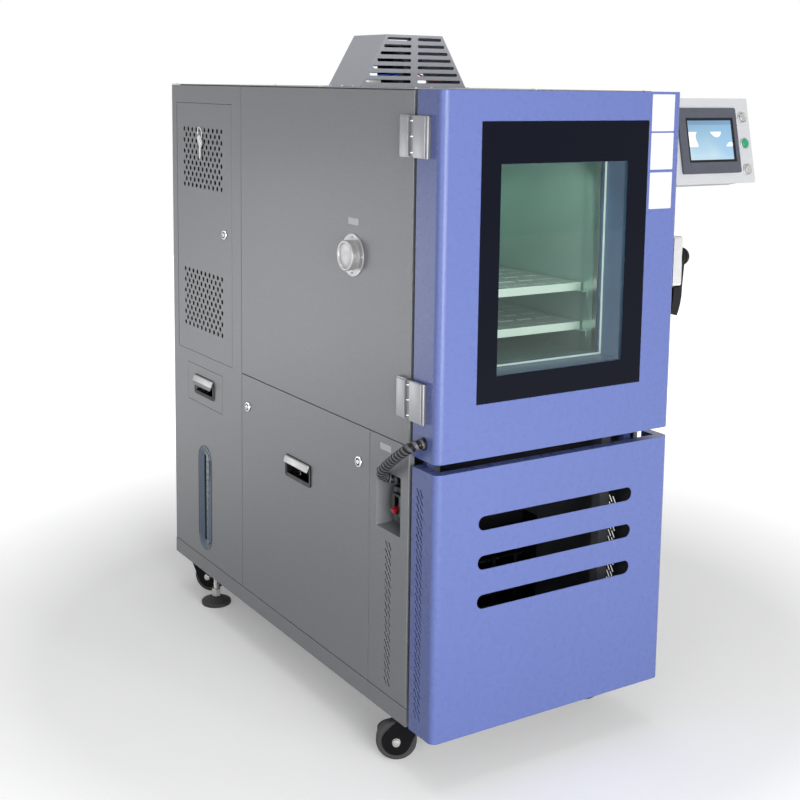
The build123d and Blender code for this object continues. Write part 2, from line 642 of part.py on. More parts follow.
def access_door():
    """Rear access door with two pierced fields and its pivot pins."""
    y0, y1 = ACCESS_Y
    z0, z1 = ACCESS_Z
    door = tray(0, FLANGE - 1, y0, y1, z0, z1, "+X")
    door -= rod(-2, *ACCESS_LOCK, "X", 8 + RUNNING_CLEARANCE, 5)
    across, rise, hole_r, columns, rows = 29.6, 16.7, 7.0, 10, 11
    holes = []
    for low in (764.0 + 6, 1193.0 + 6):
        for row in range(rows):
            for column in range(columns - row % 2):
                y = 1012 + hole_r + across * (column + 0.5 * (row % 2)) - 2
                hole = side_plane(y, low + row * rise) * Circle(hole_r)
                holes.append(extrude(hole, 3, both=True))
    door -= holes
    x, y = ACCESS_PIVOT
    lug, reach = 4.0, SEAM + SHEET + 0.4
    for z in (z0, z1 - lug):
        door += block(SHEET - 0.1, x + 5, y - 5, y1 - SHEET + 0.1, z, z + lug)
    for z in (z0 - reach, z1 - lug):
        door += rod(x, y, z, "Z", 2.5, lug + reach)
    return door


def mid_access_panel():
    """Lift-off panel of the machine room."""
    y0, y1 = STRIP_SEAM_Y, REAR_SEAM_Y - SEAM
    panel = tray(0, FLANGE, y0, y1, SKIRT_H + SEAM, MACHINE_TOP, "+X")
    for y, z in MID_LOCKS:
        panel -= rod(-2, y, z, "X", 8 + RUNNING_CLEARANCE, 5)
    return panel - block(-1, 3, PULL_Y - PULL_W / 2 + 5, PULL_Y + PULL_W / 2 - 5,
                         PULL_Z - PULL_H / 2 + 5, PULL_Z + PULL_H / 2 - 5)


def pull_cup(y, z, width, height):
    """Flush pull: a cup with a rim, and a lip that leans out over its upper half."""
    rim = extrude(side_plane(y, z) * RectangleRounded(width, height, 6), 2.5)
    rim = rim + block(0, 24, y - width / 2 + 6, y + width / 2 - 6, z - height / 2 + 6, z + height / 2 - 6)
    hollow = extrude(side_plane(y, z, 22) * RectangleRounded(width - 18, height - 18, 4), 30)
    cup = rim - hollow
    top, low = z + height / 2 - 5, z + 1
    lip = Plane(origin=(0, y, 0), x_dir=(1, 0, 0), z_dir=(0, -1, 0)) * Polygon(
        (-2.5, top), (-2.5, top - 6), (-11, low), (-14, low), (-5.5, top), align=None
    )
    cup += extrude(lip, width / 2 - 7, both=True)
    back = z + height / 2 - 9
    return cup + block(-3, 2, y - width / 2 + 7, y + width / 2 - 7, back, top)


def filler_drawer():
    """Water filler drawer: flush front, pull and the tray behind it."""
    y0, y1 = DRAWER_Y
    z0, z1 = DRAWER_Z
    drawer = block(0, 2, y0, y1, z0, z1)
    mid_y, mid_z = sum(DRAWER_Y) / 2, sum(DRAWER_Z) / 2
    drawer -= block(-1, 3, mid_y - 65, mid_y + 65, mid_z - 25, mid_z + 25)
    drawer += pull_cup(mid_y, mid_z, PULL_W, PULL_H)
    body = block(2, 170, y0 + 8, y1 - 8, z0 + 5, z1 - 12) - block(26, 168, y0 + 10, y1 - 10, z0 + 7, z1)
    body -= block(2, 26, y0 + 10, y1 - 10, z0 + 7, z1)
    drawer += body
    return drawer


def level_gauge():
    """Blue gauge plate with its slot, and the sight tube behind it."""
    mid_z = sum(GAUGE_Z) / 2
    plane = side_plane(GAUGE_Y, mid_z) * Rot(0, 0, 90)
    plate = extrude(plane * SlotOverall(GAUGE_Z[1] - GAUGE_Z[0], GAUGE_W), 1.5)
    plate += extrude(plane * SlotOverall(GAUGE_Z[1] - GAUGE_Z[0] - 17, GAUGE_W - 17), -3)
    slot = side_plane(GAUGE_Y - 5, 244.0) * Rot(0, 0, 90)
    plate -= extrude(slot * SlotOverall(272, 15), 5, both=True)
    sight = rod(13, GAUGE_Y - 5, 100, "Z", 8, 290)
    for z in (96, 384):
        sight += rod(13, GAUGE_Y - 5, z, "X", 7, 30) + rod(13, GAUGE_Y - 5, z - 10, "Z", 9, 20)
    return Compound(children=[plate, sight])


# Inside the machine room and the electrical room

def water_tank():
    """Water tank on the deck, with the drawer's runners on top."""
    x0, x1, y0, y1, top = 43.0, 300.0, DRAWER_Y[0] + 16, DRAWER_Y[1] - 16, 524.0
    tank = block(x0, x1, y0, y1, SKIRT_H, top)
    tank = fillet(tank.edges().filter_by(Axis.Z), 14)
    tank -= block(x0 + 4, x1 - 4, y0 + 4, y1 - 4, SKIRT_H + 4, top - 4)
    tank -= rod(200, sum(DRAWER_Y) / 2, top - 6, "Z", 30, 8)
    for y in (y0 + 4, y1 - 16):
        tank += block(x0, 180, y, y + 12, top - 1, DRAWER_Z[0] + 4.6)
    return tank


def compressor():
    """Hermetic compressor on its foot plate."""
    x, y, r = 480.0, 560.0, 82.0
    profile = Plane(origin=(x, y, 0), x_dir=(1, 0, 0), z_dir=(0, -1, 0)) * Polygon(
        (0, 62), (r * 0.7, 62), (r, 84), (r, 150), (r + 5, 152), (r + 5, 160), (r, 162), (r, 250),
        (r * 0.7, 284), (0, 292), align=None,
    )
    shell = revolve(profile, Axis((x, y, 0), (0, 0, 1)))
    shell += block(x - 105, x + 105, y - 75, y + 75, 58, 63)
    for dx in (-88, 88):
        for dy in (-58, 58):
            shell += rod(x + dx, y + dy, SKIRT_H, "Z", 13, 14)
    shell += rod(x - r - 14, y, 200, "X", 9, 30) + rod(x + 30, y + 20, 280, "Z", 6, 30)
    return shell + block(x - 28, x + 28, y - r - 26, y - r + 12, 170, 240)


def condenser():
    """Finned condenser behind the front slots, with the fan's shroud and motor."""
    x0, x1, y0, y1, z0, z1 = 70.0, 430.0, 60.0, 118.0, SKIRT_H, 430.0
    coil = block(x0, x0 + 2, y0, y1, z0, z1) + block(x1 - 2, x1, y0, y1, z0, z1)
    for row in range(12):
        z = z0 + 25 + row * 30
        coil += block(x0, x1, y0 + 4, y1 - 4, z, z + 2)
    for column in range(5):
        coil += rod(x0 + 45 + column * 67, sum((y0, y1)) / 2, z0 + 20, "Z", 6, 342)
    mid_x, mid_z = (x0 + x1) / 2, 235.0
    shroud = block(x0, x1, y1, y1 + 2, z0, z1) - rod(mid_x, y1 - 1, mid_z, "Y", 152, 4)
    shroud += tube(mid_x, y1, mid_z, "Y", 155, 152, 44)
    shroud += block(mid_x - 9, mid_x + 9, y1 + 40, y1 + 44, mid_z - 154, mid_z + 154)
    shroud += rod(mid_x, y1 + 36, mid_z, "Y", 42, 60)
    return coil + shroud - rod(mid_x, y1 + 30, mid_z, "Y", 5 + RUNNING_CLEARANCE, 40)


def condenser_fan():
    """Five-bladed condenser fan on its short shaft."""
    x, y, z = 250.0, 134.0, 235.0
    fan = rod(x, y - 8, z, "Y", 30, 24) + rod(x, y + 10, z, "Y", 5, 44)
    for index in range(5):
        blade = Pos(82, 0, 0) * Rot(32, 0, 0) * Box(118, 2.5, 46)
        fan += Pos(x, y + 2, z) * Rot(0, 72 * index, 0) * blade
    return fan


def fan_motor():
    """Ribbed motor of the circulation fan, on the roof under the hood."""
    x, y = FAN_XY
    motor = block(x - 70, x + 70, y - 70, y + 70, BODY_H, BODY_H + 6)
    motor = fillet(motor.edges().filter_by(Axis.Z), 10)
    motor += rod(x, y, BODY_H + 5, "Z", 50, 96)
    for index in range(16):
        rib = Pos(x, y, BODY_H + 54) * Rot(0, 0, 22.5 * index) * Pos(51, 0, 0) * Box(10, 3, 78)
        motor += rib
    motor += rod(x, y, BODY_H + 100, "Z", 42, 12)
    return motor - rod(x, y, BODY_H - 1, "Z", 8 + RUNNING_CLEARANCE, 62)


def fan_impeller():
    """Circulation fan: long shaft and a drum of forward-leaning blades."""
    x, y = FAN_XY
    low, high, r_out, blades = 1236.0, 1292.0, 94.0, 20
    wheel = rod(x, y, low, "Z", 8, BODY_H + 60 - low) + rod(x, y, low + 10, "Z", 18, high - low - 8)
    wheel += rod(x, y, high - 2, "Z", r_out, 2)
    wheel += tube(x, y, low, "Z", r_out, 72, 2)
    for index in range(blades):
        blade = Pos(83, 0, 0) * Rot(0, 0, 28) * Box(20, 1.6, high - low - 2)
        wheel += Pos(x, y, (low + high) / 2) * Rot(0, 0, 360 / blades * index) * blade
    return wheel


def electrical_plate():
    """Mounting plate with rails, contactors, relays and a wiring duct."""
    x, y0, y1, z0, z1 = 330.0, 920.0, 1350.0, SKIRT_H, 1440.0
    plate = block(x, x + 2, y0, y1, z0, z1) + block(x, x + 30, y0, y1, z0, z0 + 2)
    for row, (count, width, height, depth) in enumerate(
        ((8, 42, 84, 76), (6, 58, 74, 66), (11, 30, 62, 48), (5, 66, 96, 88))
    ):
        z = 1330.0 - row * 165
        plate += block(x - 8, x + 1, y0 + 15, y1 - 15, z - 17, z + 17)
        for index in range(count):
            y = y0 + 30 + index * (y1 - y0 - 60) / count
            plate += block(x - depth, x - 6, y, y + width, z - height / 2, z + height / 2)
        plate += block(x - 40, x + 1, y0 + 15, y1 - 15, z - 100, z - 70)
    return plate


def breaker_body():
    """Circuit breaker on the recess's floor, with the toggle's slot."""
    x0, x1 = 24.0, RECESS_DEPTH - SHEET
    body = block(x0, x1, 50, 102, 476, 562)
    body += block(x0 - 8, x0 + 1, 56, 96, 494, 548)
    body -= block(x0 - 9, x1 - 3, 67, 85, 500, 542)
    return body - rod(BREAKER_PIVOT[0], 64, BREAKER_PIVOT[1], "Y", 2 + RUNNING_CLEARANCE, 24)


def breaker_lever():
    """Toggle of the breaker, now pointing down."""
    x, z = BREAKER_PIVOT
    toggle = rod(x, 68, z, "Y", 8, 16) + rod(x, 65, z, "Y", 2, 22)
    arm = block(x - 30, x, 71, 81, z - 4, z + 4) + block(x - 34, x - 22, 69, 83, z - 6, z + 6)
    return toggle + Pos(x, 0, z) * Rot(0, -22, 0) * Pos(-x, 0, -z) * arm


# Loose and rolling pieces

SHELF_Z = (1021.0, 921.0)
SHELF_LIP = 20.0
BREAKER_PIVOT = (36.0, 521.0)


def shelf(top):
    """Pierced stainless shelf with turned-down edges."""
    x0, x1 = CHAMBER_X[0] + 3.5, CHAMBER_X[1] - 3.5
    plate = tray(x0, x1, 60, 500, top - SHELF_LIP, top, "-Z")
    for column in range(6):
        for row in range(7):
            x, y = x0 + 22 + 60 * column, 84 + 60 * row
            plate -= block(x, x + 44, y, y + 9, top - 3, top + 1)
    return plate


def port_plug():
    """Soft plug of the cable port, with a dished cap."""
    plug = rod(PLUG_NECK_X - 1, PORT_Y, PORT_Z, "X", PORT_BORE_R - 0.08, 62)
    cap = rod(PLUG_FACE_X, PORT_Y, PORT_Z, "X", 37.5, PLUG_NECK_X - PLUG_FACE_X - 0.4)
    cap = fillet(cap.faces().sort_by(Axis.X)[0].edges(), 2.5)
    return plug + cap - rod(PLUG_FACE_X - 1, PORT_Y, PORT_Z, "X", 30, 4)


def caster_place(x, y, angle):
    """Location of a caster: kingpin point and the way that its wheel trails."""
    return Pos(x, y, 0) * Rot(0, 0, angle)


def tangent_point(point, centre, radius, side):
    """Where a line from a point touches a circle, on one side of it."""
    across, down = centre[0] - point[0], centre[1] - point[1]
    reach = math.sqrt(across**2 + down**2 - radius**2)
    turn = math.atan2(down, across) + side * math.atan2(radius, reach)
    return (point[0] + reach * math.cos(turn), point[1] + reach * math.sin(turn))


def caster_fork(place):
    """Swivelling fork with its axle; the wheel trails along the fork's own +X."""
    axle_z = WHEEL_R - GROUND + 0.4
    crown_low, crown_t, crown_r, cheek_t, cheek_r = -17.0, 6.0, 31.0, 4.0, 34.0
    fork = rod(0, 0, crown_low, "Z", crown_r, -crown_low - 4.4)
    half = WHEEL_W / 2 + 2
    hub, back, front = (CASTER_TRAIL, axle_z), (-27, -8), (27, -8)
    outline = Polygon(
        back, tangent_point(back, hub, cheek_r, -1), hub, tangent_point(front, hub, cheek_r, 1), front, align=None
    )
    side = Plane.XZ * (outline + Pos(*hub) * Circle(cheek_r))
    for way in (-1, 1):
        fork += Pos(0, way * (half + cheek_t / 2), 0) * extrude(side, cheek_t / 2, both=True)
    fork += block(-24, 24, -half - cheek_t, half + cheek_t, crown_low, crown_low + crown_t)
    fork -= rod(0, 0, crown_low - 1, "Z", KINGPIN_R + RUNNING_CLEARANCE, -crown_low)
    fork += rod(CASTER_TRAIL, -half - 10, axle_z, "Y", 4, 2 * half + 20)
    for y in (-half - 11, half + 4):
        fork += rod(CASTER_TRAIL, y, axle_z, "Y", 9, 7)
    return place * fork


def caster_wheel(place):
    """Wheel with a rounded tread and a sunk hub."""
    axle_z = WHEEL_R - GROUND + 0.4
    wheel = rod(CASTER_TRAIL, -WHEEL_W / 2, axle_z, "Y", WHEEL_R, WHEEL_W)
    wheel = fillet(wheel.edges().filter_by(GeomType.CIRCLE), 7)
    for y in (-WHEEL_W / 2 - 1, WHEEL_W / 2 - 5):
        wheel -= rod(CASTER_TRAIL, y, axle_z, "Y", 30, 6) - rod(CASTER_TRAIL, y, axle_z, "Y", 12, 6)
    return place * (wheel - rod(CASTER_TRAIL, -WHEEL_W, axle_z, "Y", 4 + RUNNING_CLEARANCE, 2 * WHEEL_W))


def levelling_feet():
    """Four levelling feet: cone pad, jam nut and stud."""
    feet = []
    for x, y in FOOT_POINTS:
        profile = Plane(origin=(x, y, -GROUND), x_dir=(1, 0, 0), z_dir=(0, -1, 0)) * Polygon(
            (0, 0), (FOOT_PAD_R - 3, 0), (FOOT_PAD_R, 4), (FOOT_PAD_R, 12), (18, 36), (0, 38), align=None
        )
        foot = revolve(profile, Axis((x, y, 0), (0, 0, 1)))
        foot += extrude(Pos(x, y, -GROUND + 37) * RegularPolygon(13.5, 6), 13)
        feet.append(foot + rod(x, y, -GROUND + 48, "Z", 8, GROUND - 48))
    return Compound(children=feet)


def spiral_cable():
    """Door cable: straight runs joined by tangent arcs."""
    points = [Vector(*point) for point in CABLE_ROUTE]
    radii = []
    for before, corner, after in zip(points, points[1:], points[2:]):
        turn = (corner - before).get_angle(after - corner)
        shorter = min((corner - before).length, (after - corner).length)
        radii.append(0.45 * shorter / math.tan(math.radians(turn) / 2))
    print("cable radii", [round(radius, 1) for radius in radii])
    path = FilletPolyline(*points, radius=radii)
    cable = sweep(Plane(path @ 0, z_dir=path % 0) * Circle(CABLE_R), path=path)
    print("cable length", round(path.length, 1), "volume ratio",
          round(cable.volume / (math.pi * CABLE_R ** 2 * path.length), 4))
    return cable


CASTERS = {
    "front_left": caster_place(CASTER_INSET, CASTER_INSET, 147.0),
    "front_right": caster_place(BODY_W - CASTER_INSET, CASTER_INSET, 125.0),
    "rear_left": caster_place(CASTER_INSET, BODY_D - CASTER_INSET, -53.0),
    "rear_right": caster_place(BODY_W - CASTER_INSET, BODY_D - CASTER_INSET, -120.0),
}

NODES = {
    "base_frame": base_frame(),
    "left_upper_panel": left_upper_panel(),
    "front_strip": front_strip(),
    "rear_left_panel": rear_left_panel(),
    "right_side_panel": right_side_panel(),
    "rear_panel": rear_panel(),
    "top_cover": top_cover(),
    "front_frame": front_frame(),
    "inner_liner": inner_liner(),
    "insulation": insulation(),
    "air_baffle": air_baffle(),
    "evaporator_coil": evaporator_coil(),
    "port_sleeve": port_sleeve(),
    "vent_hood": vent_hood(),
    "lower_front_panel": lower_front_panel(),
    "door_shell": door_shell(),
    "door_inner_panel": door_inner_panel(),
    "door_gasket": door_gasket(),
    "window_surround": window_surround(),
    "window_glass": window_glass(),
    "fixed_hinge_leaves": fixed_hinge_leaves(),
    "door_hinge_leaves": door_hinge_leaves(),
    "handle_body": handle_body(),
    "door_lever": door_lever(),
    "control_box": control_box(),
    "control_plate": control_plate(),
    "hmi_bezel": hmi_bezel(),
    "access_door": access_door(),
    "access_door_lock": quarter_turn_lock(*ACCESS_LOCK, -1),
    "mid_access_panel": mid_access_panel(),
    "mid_panel_handle": pull_cup(PULL_Y, PULL_Z, PULL_W, PULL_H),
    "mid_panel_lock_front": quarter_turn_lock(*MID_LOCKS[0], -1),
    "mid_panel_lock_rear": quarter_turn_lock(*MID_LOCKS[1], 1),
    "filler_drawer": filler_drawer(),
    "level_gauge": level_gauge(),
    "water_tank": water_tank(),
    "compressor": compressor(),
    "condenser": condenser(),
    "condenser_fan": condenser_fan(),
    "fan_motor": fan_motor(),
    "fan_impeller": fan_impeller(),
    "electrical_plate": electrical_plate(),
    "breaker_body": breaker_body(),
    "breaker_lever": breaker_lever(),
    "upper_shelf": shelf(SHELF_Z[0]),
    "lower_shelf": shelf(SHELF_Z[1]),
    "port_plug": port_plug(),
    "levelling_feet": levelling_feet(),
    "spiral_cable": spiral_cable(),
}
for name, s in zip(("button_bottom", "button_middle", "button_top"), BUTTON_S):
    NODES[name] = button(s)
for name, place in CASTERS.items():
    NODES["caster_fork_" + name] = caster_fork(place)
    NODES["caster_wheel_" + name] = caster_wheel(place)

# Move the origin to the floor, under the middle of the object's whole length and width
CENTRE_X = (min(point[0] for point in CABLE_ROUTE) - CABLE_R + PANEL_X[1]) / 2
CENTRE_Y = (DOOR_FACE + SPIGOT_END_Y) / 2
for name, shape in NODES.items():
    export_step(Pos(-CENTRE_X, -CENTRE_Y, GROUND) * shape, "parts/" + name + ".step")
print(len(NODES), "nodes, origin at", CENTRE_X, CENTRE_Y, -GROUND)
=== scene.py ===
"""Environmental test chamber: finishes, fine pieces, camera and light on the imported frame."""
import logging
import math
from dataclasses import dataclass, field
from enum import Enum

import bmesh
import bpy
from mathutils import Matrix, Vector


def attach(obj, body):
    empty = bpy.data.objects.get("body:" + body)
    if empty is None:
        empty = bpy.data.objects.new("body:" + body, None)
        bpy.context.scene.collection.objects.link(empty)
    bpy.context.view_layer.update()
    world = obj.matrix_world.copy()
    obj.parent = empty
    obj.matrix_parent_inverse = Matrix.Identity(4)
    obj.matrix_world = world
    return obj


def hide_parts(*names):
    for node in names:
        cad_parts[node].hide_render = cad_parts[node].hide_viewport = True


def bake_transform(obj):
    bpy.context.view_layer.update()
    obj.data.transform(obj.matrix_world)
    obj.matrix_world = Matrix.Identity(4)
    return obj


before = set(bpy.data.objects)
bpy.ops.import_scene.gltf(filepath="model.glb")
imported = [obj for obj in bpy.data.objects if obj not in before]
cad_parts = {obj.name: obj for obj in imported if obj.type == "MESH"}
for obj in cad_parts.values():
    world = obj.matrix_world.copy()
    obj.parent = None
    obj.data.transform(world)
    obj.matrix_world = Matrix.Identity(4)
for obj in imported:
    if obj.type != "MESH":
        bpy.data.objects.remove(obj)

LOG = logging.getLogger("test_chamber")
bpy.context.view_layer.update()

Span = tuple[float, float]
Point = tuple[float, float, float]
Colour = tuple[float, float, float]


class Way(Enum):
    """Directions of the cabinet drawing."""

    RIGHT = (1.0, 0.0, 0.0)
    LEFT = (-1.0, 0.0, 0.0)
    BACK = (0.0, 1.0, 0.0)
    UP = (0.0, 0.0, 1.0)
    DOWN = (0.0, 0.0, -1.0)

    @property
    def vector(self) -> Vector:
        """The direction as a vector."""
        return Vector(self.value)


class Grain(Enum):
    """The way that brush marks run on a sheet."""

    ALONG_X = (1.0, 60.0, 60.0)
    ALONG_Z = (60.0, 60.0, 1.0)


@dataclass(frozen=True)
class Drawing:
    """The cabinet drawing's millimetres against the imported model's metres.

    The drawing starts at the cabinet's left side, front face and underside.
    """

    centre_x: float = 489.75
    centre_y: float = 654.0
    floor_z: float = -120.0

    def place(self, point: Point | Vector) -> Vector:
        """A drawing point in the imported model's frame."""
        x, y, z = point
        return Vector((x - self.centre_x, y - self.centre_y, z - self.floor_z)) / 1000


DRAWING = Drawing()


@dataclass(frozen=True)
class Face:
    """A flat face of the drawing, for outlines that are drawn on it.

    Attributes:
        origin: point of the face, in millimetres.
        right: the outline's own x, seen from outside.
        up: the outline's own y.
    """

    origin: Point
    right: tuple[float, float, float]
    up: tuple[float, float, float] = (0.0, 0.0, 1.0)

    @property
    def normal(self) -> Vector:
        """The outward normal."""
        return Vector(self.right).cross(Vector(self.up)).normalized()

    def at(self, across: float, along: float, out: float = 0.0) -> Vector:
        """A point of the face, or one that stands out from it."""
        return Vector(self.origin) + Vector(self.right) * across + Vector(self.up) * along + self.normal * out


def left_face(y: float, z: float, x: float = 0.0) -> Face:
    """The face of a left wall, centred on a point."""
    return Face((x, y, z), (0.0, -1.0, 0.0))


def front_face(x: float, z: float, y: float = 0.0) -> Face:
    """The face of a front wall, centred on a point."""
    return Face((x, y, z), (1.0, 0.0, 0.0))


def stadium(length: float, width: float, steps: int = 10) -> list[Span]:
    """Outline of a slot with round ends.

    Args:
        length: overall length, along the outline's x.
        width: overall width.
        steps: straight pieces in each round end.

    Returns:
        The outline's points, counter-clockwise.
    """
    radius, half = width / 2, length / 2 - width / 2
    points = []
    for side, start in ((1, -90), (-1, 90)):
        for step in range(steps + 1):
            angle = math.radians(start + 180 * step / steps)
            points.append((side * half + radius * math.cos(angle), radius * math.sin(angle)))
    return points


def rounded(width: float, height: float, radius: float, steps: int = 6) -> list[Span]:
    """Outline of a rectangle with round corners.

    Args:
        width: overall width.
        height: overall height.
        radius: corner radius.
        steps: straight pieces in each corner.

    Returns:
        The outline's points, counter-clockwise.
    """
    points = []
    for index, (sx, sy) in enumerate(((1, -1), (1, 1), (-1, 1), (-1, -1))):
        for step in range(steps + 1):
            angle = math.radians(-90 + 90 * index + 90 * step / steps)
            points.append((sx * (width / 2 - radius) + radius * math.cos(angle),
                           sy * (height / 2 - radius) + radius * math.sin(angle)))
    return points


def rectangle(low: Span, high: Span) -> list[Span]:
    """Outline of a rectangle between two opposite corners."""
    return [low, (high[0], low[1]), high, (low[0], high[1])]


def circle(radius: float, centre: Span = (0.0, 0.0), sides: int = 20) -> list[Span]:
    """Outline of a round hole."""
    turn = 2 * math.pi / sides
    return [(centre[0] + radius * math.cos(turn * i), centre[1] + radius * math.sin(turn * i)) for i in range(sides)]


class Shader:
    """A node material under construction."""

    def __init__(self, name: str) -> None:
        """Starts an empty material.

        Args:
            name: the material's name.
        """
        self.material = bpy.data.materials.new(name)
        self.material.use_nodes = True
        self.tree = self.material.node_tree
        self.tree.nodes.clear()
        self.output = self.tree.nodes.new("ShaderNodeOutputMaterial")
        self.coords = self.tree.nodes.new("ShaderNodeTexCoord").outputs["Object"]

    def node(self, kind: str, **sockets: object) -> bpy.types.Node:
        """Adds a node.

        Args:
            kind: Blender's name of the node, without its prefix.
            **sockets: value or link of each input, by its name with underscores.

        Returns:
            The new node.
        """
        made = self.tree.nodes.new("ShaderNode" + kind)
        for key, value in sockets.items():
            self.feed(made.inputs[key.replace("_", " ")], value)
        return made

    def feed(self, socket: bpy.types.NodeSocket, value: object) -> None:
        """Sets an input's value, or links it."""
        if isinstance(value, bpy.types.NodeSocket):
            self.tree.links.new(value, socket)
        else:
            socket.default_value = value

    def stretched(self, scale: Point) -> bpy.types.NodeSocket:
        """Coordinates that are scaled differently along each axis."""
        return self.node("Mapping", Vector=self.coords, Scale=scale).outputs["Vector"]

    def noise(self, scale: float, detail: float = 2.0, vector: object = None) -> bpy.types.NodeSocket:
        """Soft noise from 0 to 1."""
        made = self.node("TexNoise", Scale=scale, Detail=detail)
        self.feed(made.inputs["Vector"], vector or self.coords)
        return made.outputs["Fac"]

    def between(self, value: object, low: float, high: float, start: float = 0.3,
                end: float = 0.7) -> bpy.types.NodeSocket:
        """Maps a value's span onto another span."""
        made = self.node("MapRange", Value=value)
        made.inputs["From Min"].default_value = start
        made.inputs["From Max"].default_value = end
        made.inputs["To Min"].default_value = low
        made.inputs["To Max"].default_value = high
        return made.outputs["Result"]

    def sums(self, operation: str, *values: object) -> bpy.types.NodeSocket:
        """One arithmetic step."""
        made = self.tree.nodes.new("ShaderNodeMath")
        made.operation = operation
        for socket, value in zip(made.inputs, values):
            self.feed(socket, value)
        return made.outputs["Value"]

    def blend(self, factor: object, first: object, second: object) -> bpy.types.NodeSocket:
        """Mixes two colours."""
        made = self.tree.nodes.new("ShaderNodeMix")
        made.data_type = "RGBA"
        for index, value in ((0, factor), (6, first), (7, second)):
            if isinstance(value, tuple) and len(value) == 3:
                value = (*value, 1.0)
            self.feed(made.inputs[index], value)
        return made.outputs[2]

    def mix(self, share: object, first: bpy.types.NodeSocket, second: bpy.types.NodeSocket) -> bpy.types.NodeSocket:
        """Mixes two surfaces; a share of 1 shows the second alone."""
        made = self.node("MixShader", Fac=share)
        self.tree.links.new(first, made.inputs[1])
        self.tree.links.new(second, made.inputs[2])
        return made.outputs["Shader"]

    def bump(self, height: object, strength: float, depth: float, rounding: float = 0.0) -> bpy.types.NodeSocket:
        """Surface relief, on top of softly rounded edges.

        Args:
            height: the relief, from 0 to 1.
            strength: share of the relief that shows.
            depth: full height of the relief, in metres.
            rounding: radius that edges seem to have, in metres.

        Returns:
            The bent normal.
        """
        made = self.node("Bump", Strength=strength, Distance=depth, Height=height)
        if rounding:
            edge = self.node("Bevel", Radius=rounding)
            edge.samples = 4
            self.feed(made.inputs["Normal"], edge.outputs["Normal"])
        return made.outputs["Normal"]

    def close(self, surface: bpy.types.NodeSocket) -> bpy.types.Material:
        """Connects the surface and hands over the material."""
        self.tree.links.new(surface, self.output.inputs["Surface"])
        return self.material


def shades(colour: Colour, factor: float) -> tuple[float, float, float, float]:
    """A lighter or darker shade of a colour."""
    return tuple(min(1.0, part * factor) for part in colour) + (1.0,)


@dataclass(frozen=True)
class Finish:
    """What every finish has in common.

    Attributes:
        name: the material's name.
        colour: base colour, linear.
    """

    name: str
    colour: Colour

    def material(self) -> bpy.types.Material:
        """The finish's material, made once."""
        return bpy.data.materials.get(self.name) or self.make(Shader(self.name))

    def make(self, shader: Shader) -> bpy.types.Material:
        """Builds the material. Each finish has its own."""
        raise NotImplementedError


@dataclass(frozen=True)
class PowderCoat(Finish):
    """Baked powder paint with a fine leathery relief and tiny flecks."""

    roughness: float = 0.42
    relief: float = 0.25
    fleck: float = 0.10
    metallic: float = 0.0
    rounding: float = 0.0012
    specular: float = 0.5
    coat: float = 0.15

    def make(self, shader: Shader) -> bpy.types.Material:
        """Builds the paint.

        Args:
            shader: the empty material.

        Returns:
            The finished material.
        """
        grain = shader.noise(620.0, 2.0)
        cloud = shader.noise(3.2, 3.0)
        dust = shader.noise(46.0, 4.0)
        tone = shader.sums("ADD", shader.between(grain, -self.fleck, self.fleck), shader.between(cloud, -0.008, 0.008))
        tone = shader.sums("ADD", tone, shader.between(dust, -0.004, 0.008))
        colour = shader.blend(shader.sums("ADD", tone, 0.5), shades(self.colour, 0.62), shades(self.colour, 1.38))
        gloss = shader.between(dust, self.roughness, self.roughness + 0.01)
        paint = shader.node("BsdfPrincipled", Base_Color=colour, Roughness=gloss, Metallic=self.metallic)
        paint.inputs["Specular IOR Level"].default_value = self.specular
        paint.inputs["Coat Weight"].default_value = self.coat
        paint.inputs["Coat Roughness"].default_value = 0.22
        shader.feed(paint.inputs["Normal"], shader.bump(grain, self.relief, 0.0006, self.rounding))
        return shader.close(paint.outputs["BSDF"])


@dataclass(frozen=True)
class BrushedSheet(Finish):
    """Brushed or rolled metal with fine marks along one way."""

    grain: Grain = Grain.ALONG_Z
    roughness: float = 0.32
    relief: float = 0.12
    metallic: float = 1.0

    def make(self, shader: Shader) -> bpy.types.Material:
        """Builds the metal.

        Args:
            shader: the empty material.

        Returns:
            The finished material.
        """
        marks = shader.noise(22.0, 3.0, shader.stretched(self.grain.value))
        stain = shader.noise(7.0, 3.0)
        colour = shader.blend(marks, shades(self.colour, 0.86), shades(self.colour, 1.12))
        gloss = shader.sums("ADD", shader.between(marks, -0.06, 0.08), shader.between(stain, self.roughness - 0.03,
                                                                                     self.roughness + 0.05))
        metal = shader.node("BsdfPrincipled", Base_Color=colour, Roughness=gloss, Metallic=self.metallic)
        shader.feed(metal.inputs["Normal"], shader.bump(marks, self.relief, 0.0002, 0.0006))
        return shader.close(metal.outputs["BSDF"])


@dataclass(frozen=True)
class Plating(Finish):
    """Bright chrome, nickel or zinc with a few fine marks."""

    roughness: float = 0.12
    metallic: float = 1.0

    def make(self, shader: Shader) -> bpy.types.Material:
        """Builds the plating.

        Args:
            shader: the empty material.

        Returns:
            The finished material.
        """
        stain = shader.noise(26.0, 3.0)
        marks = shader.noise(700.0, 2.0)
        colour = shader.blend(stain, shades(self.colour, 0.96), shades(self.colour, 1.03))
        gloss = shader.between(stain, self.roughness * 0.85, self.roughness * 1.25)
        metal = shader.node("BsdfPrincipled", Base_Color=colour, Roughness=gloss, Metallic=self.metallic)
        shader.feed(metal.inputs["Normal"], shader.bump(marks, 0.03, 0.0001, 0.0005))
        return shader.close(metal.outputs["BSDF"])


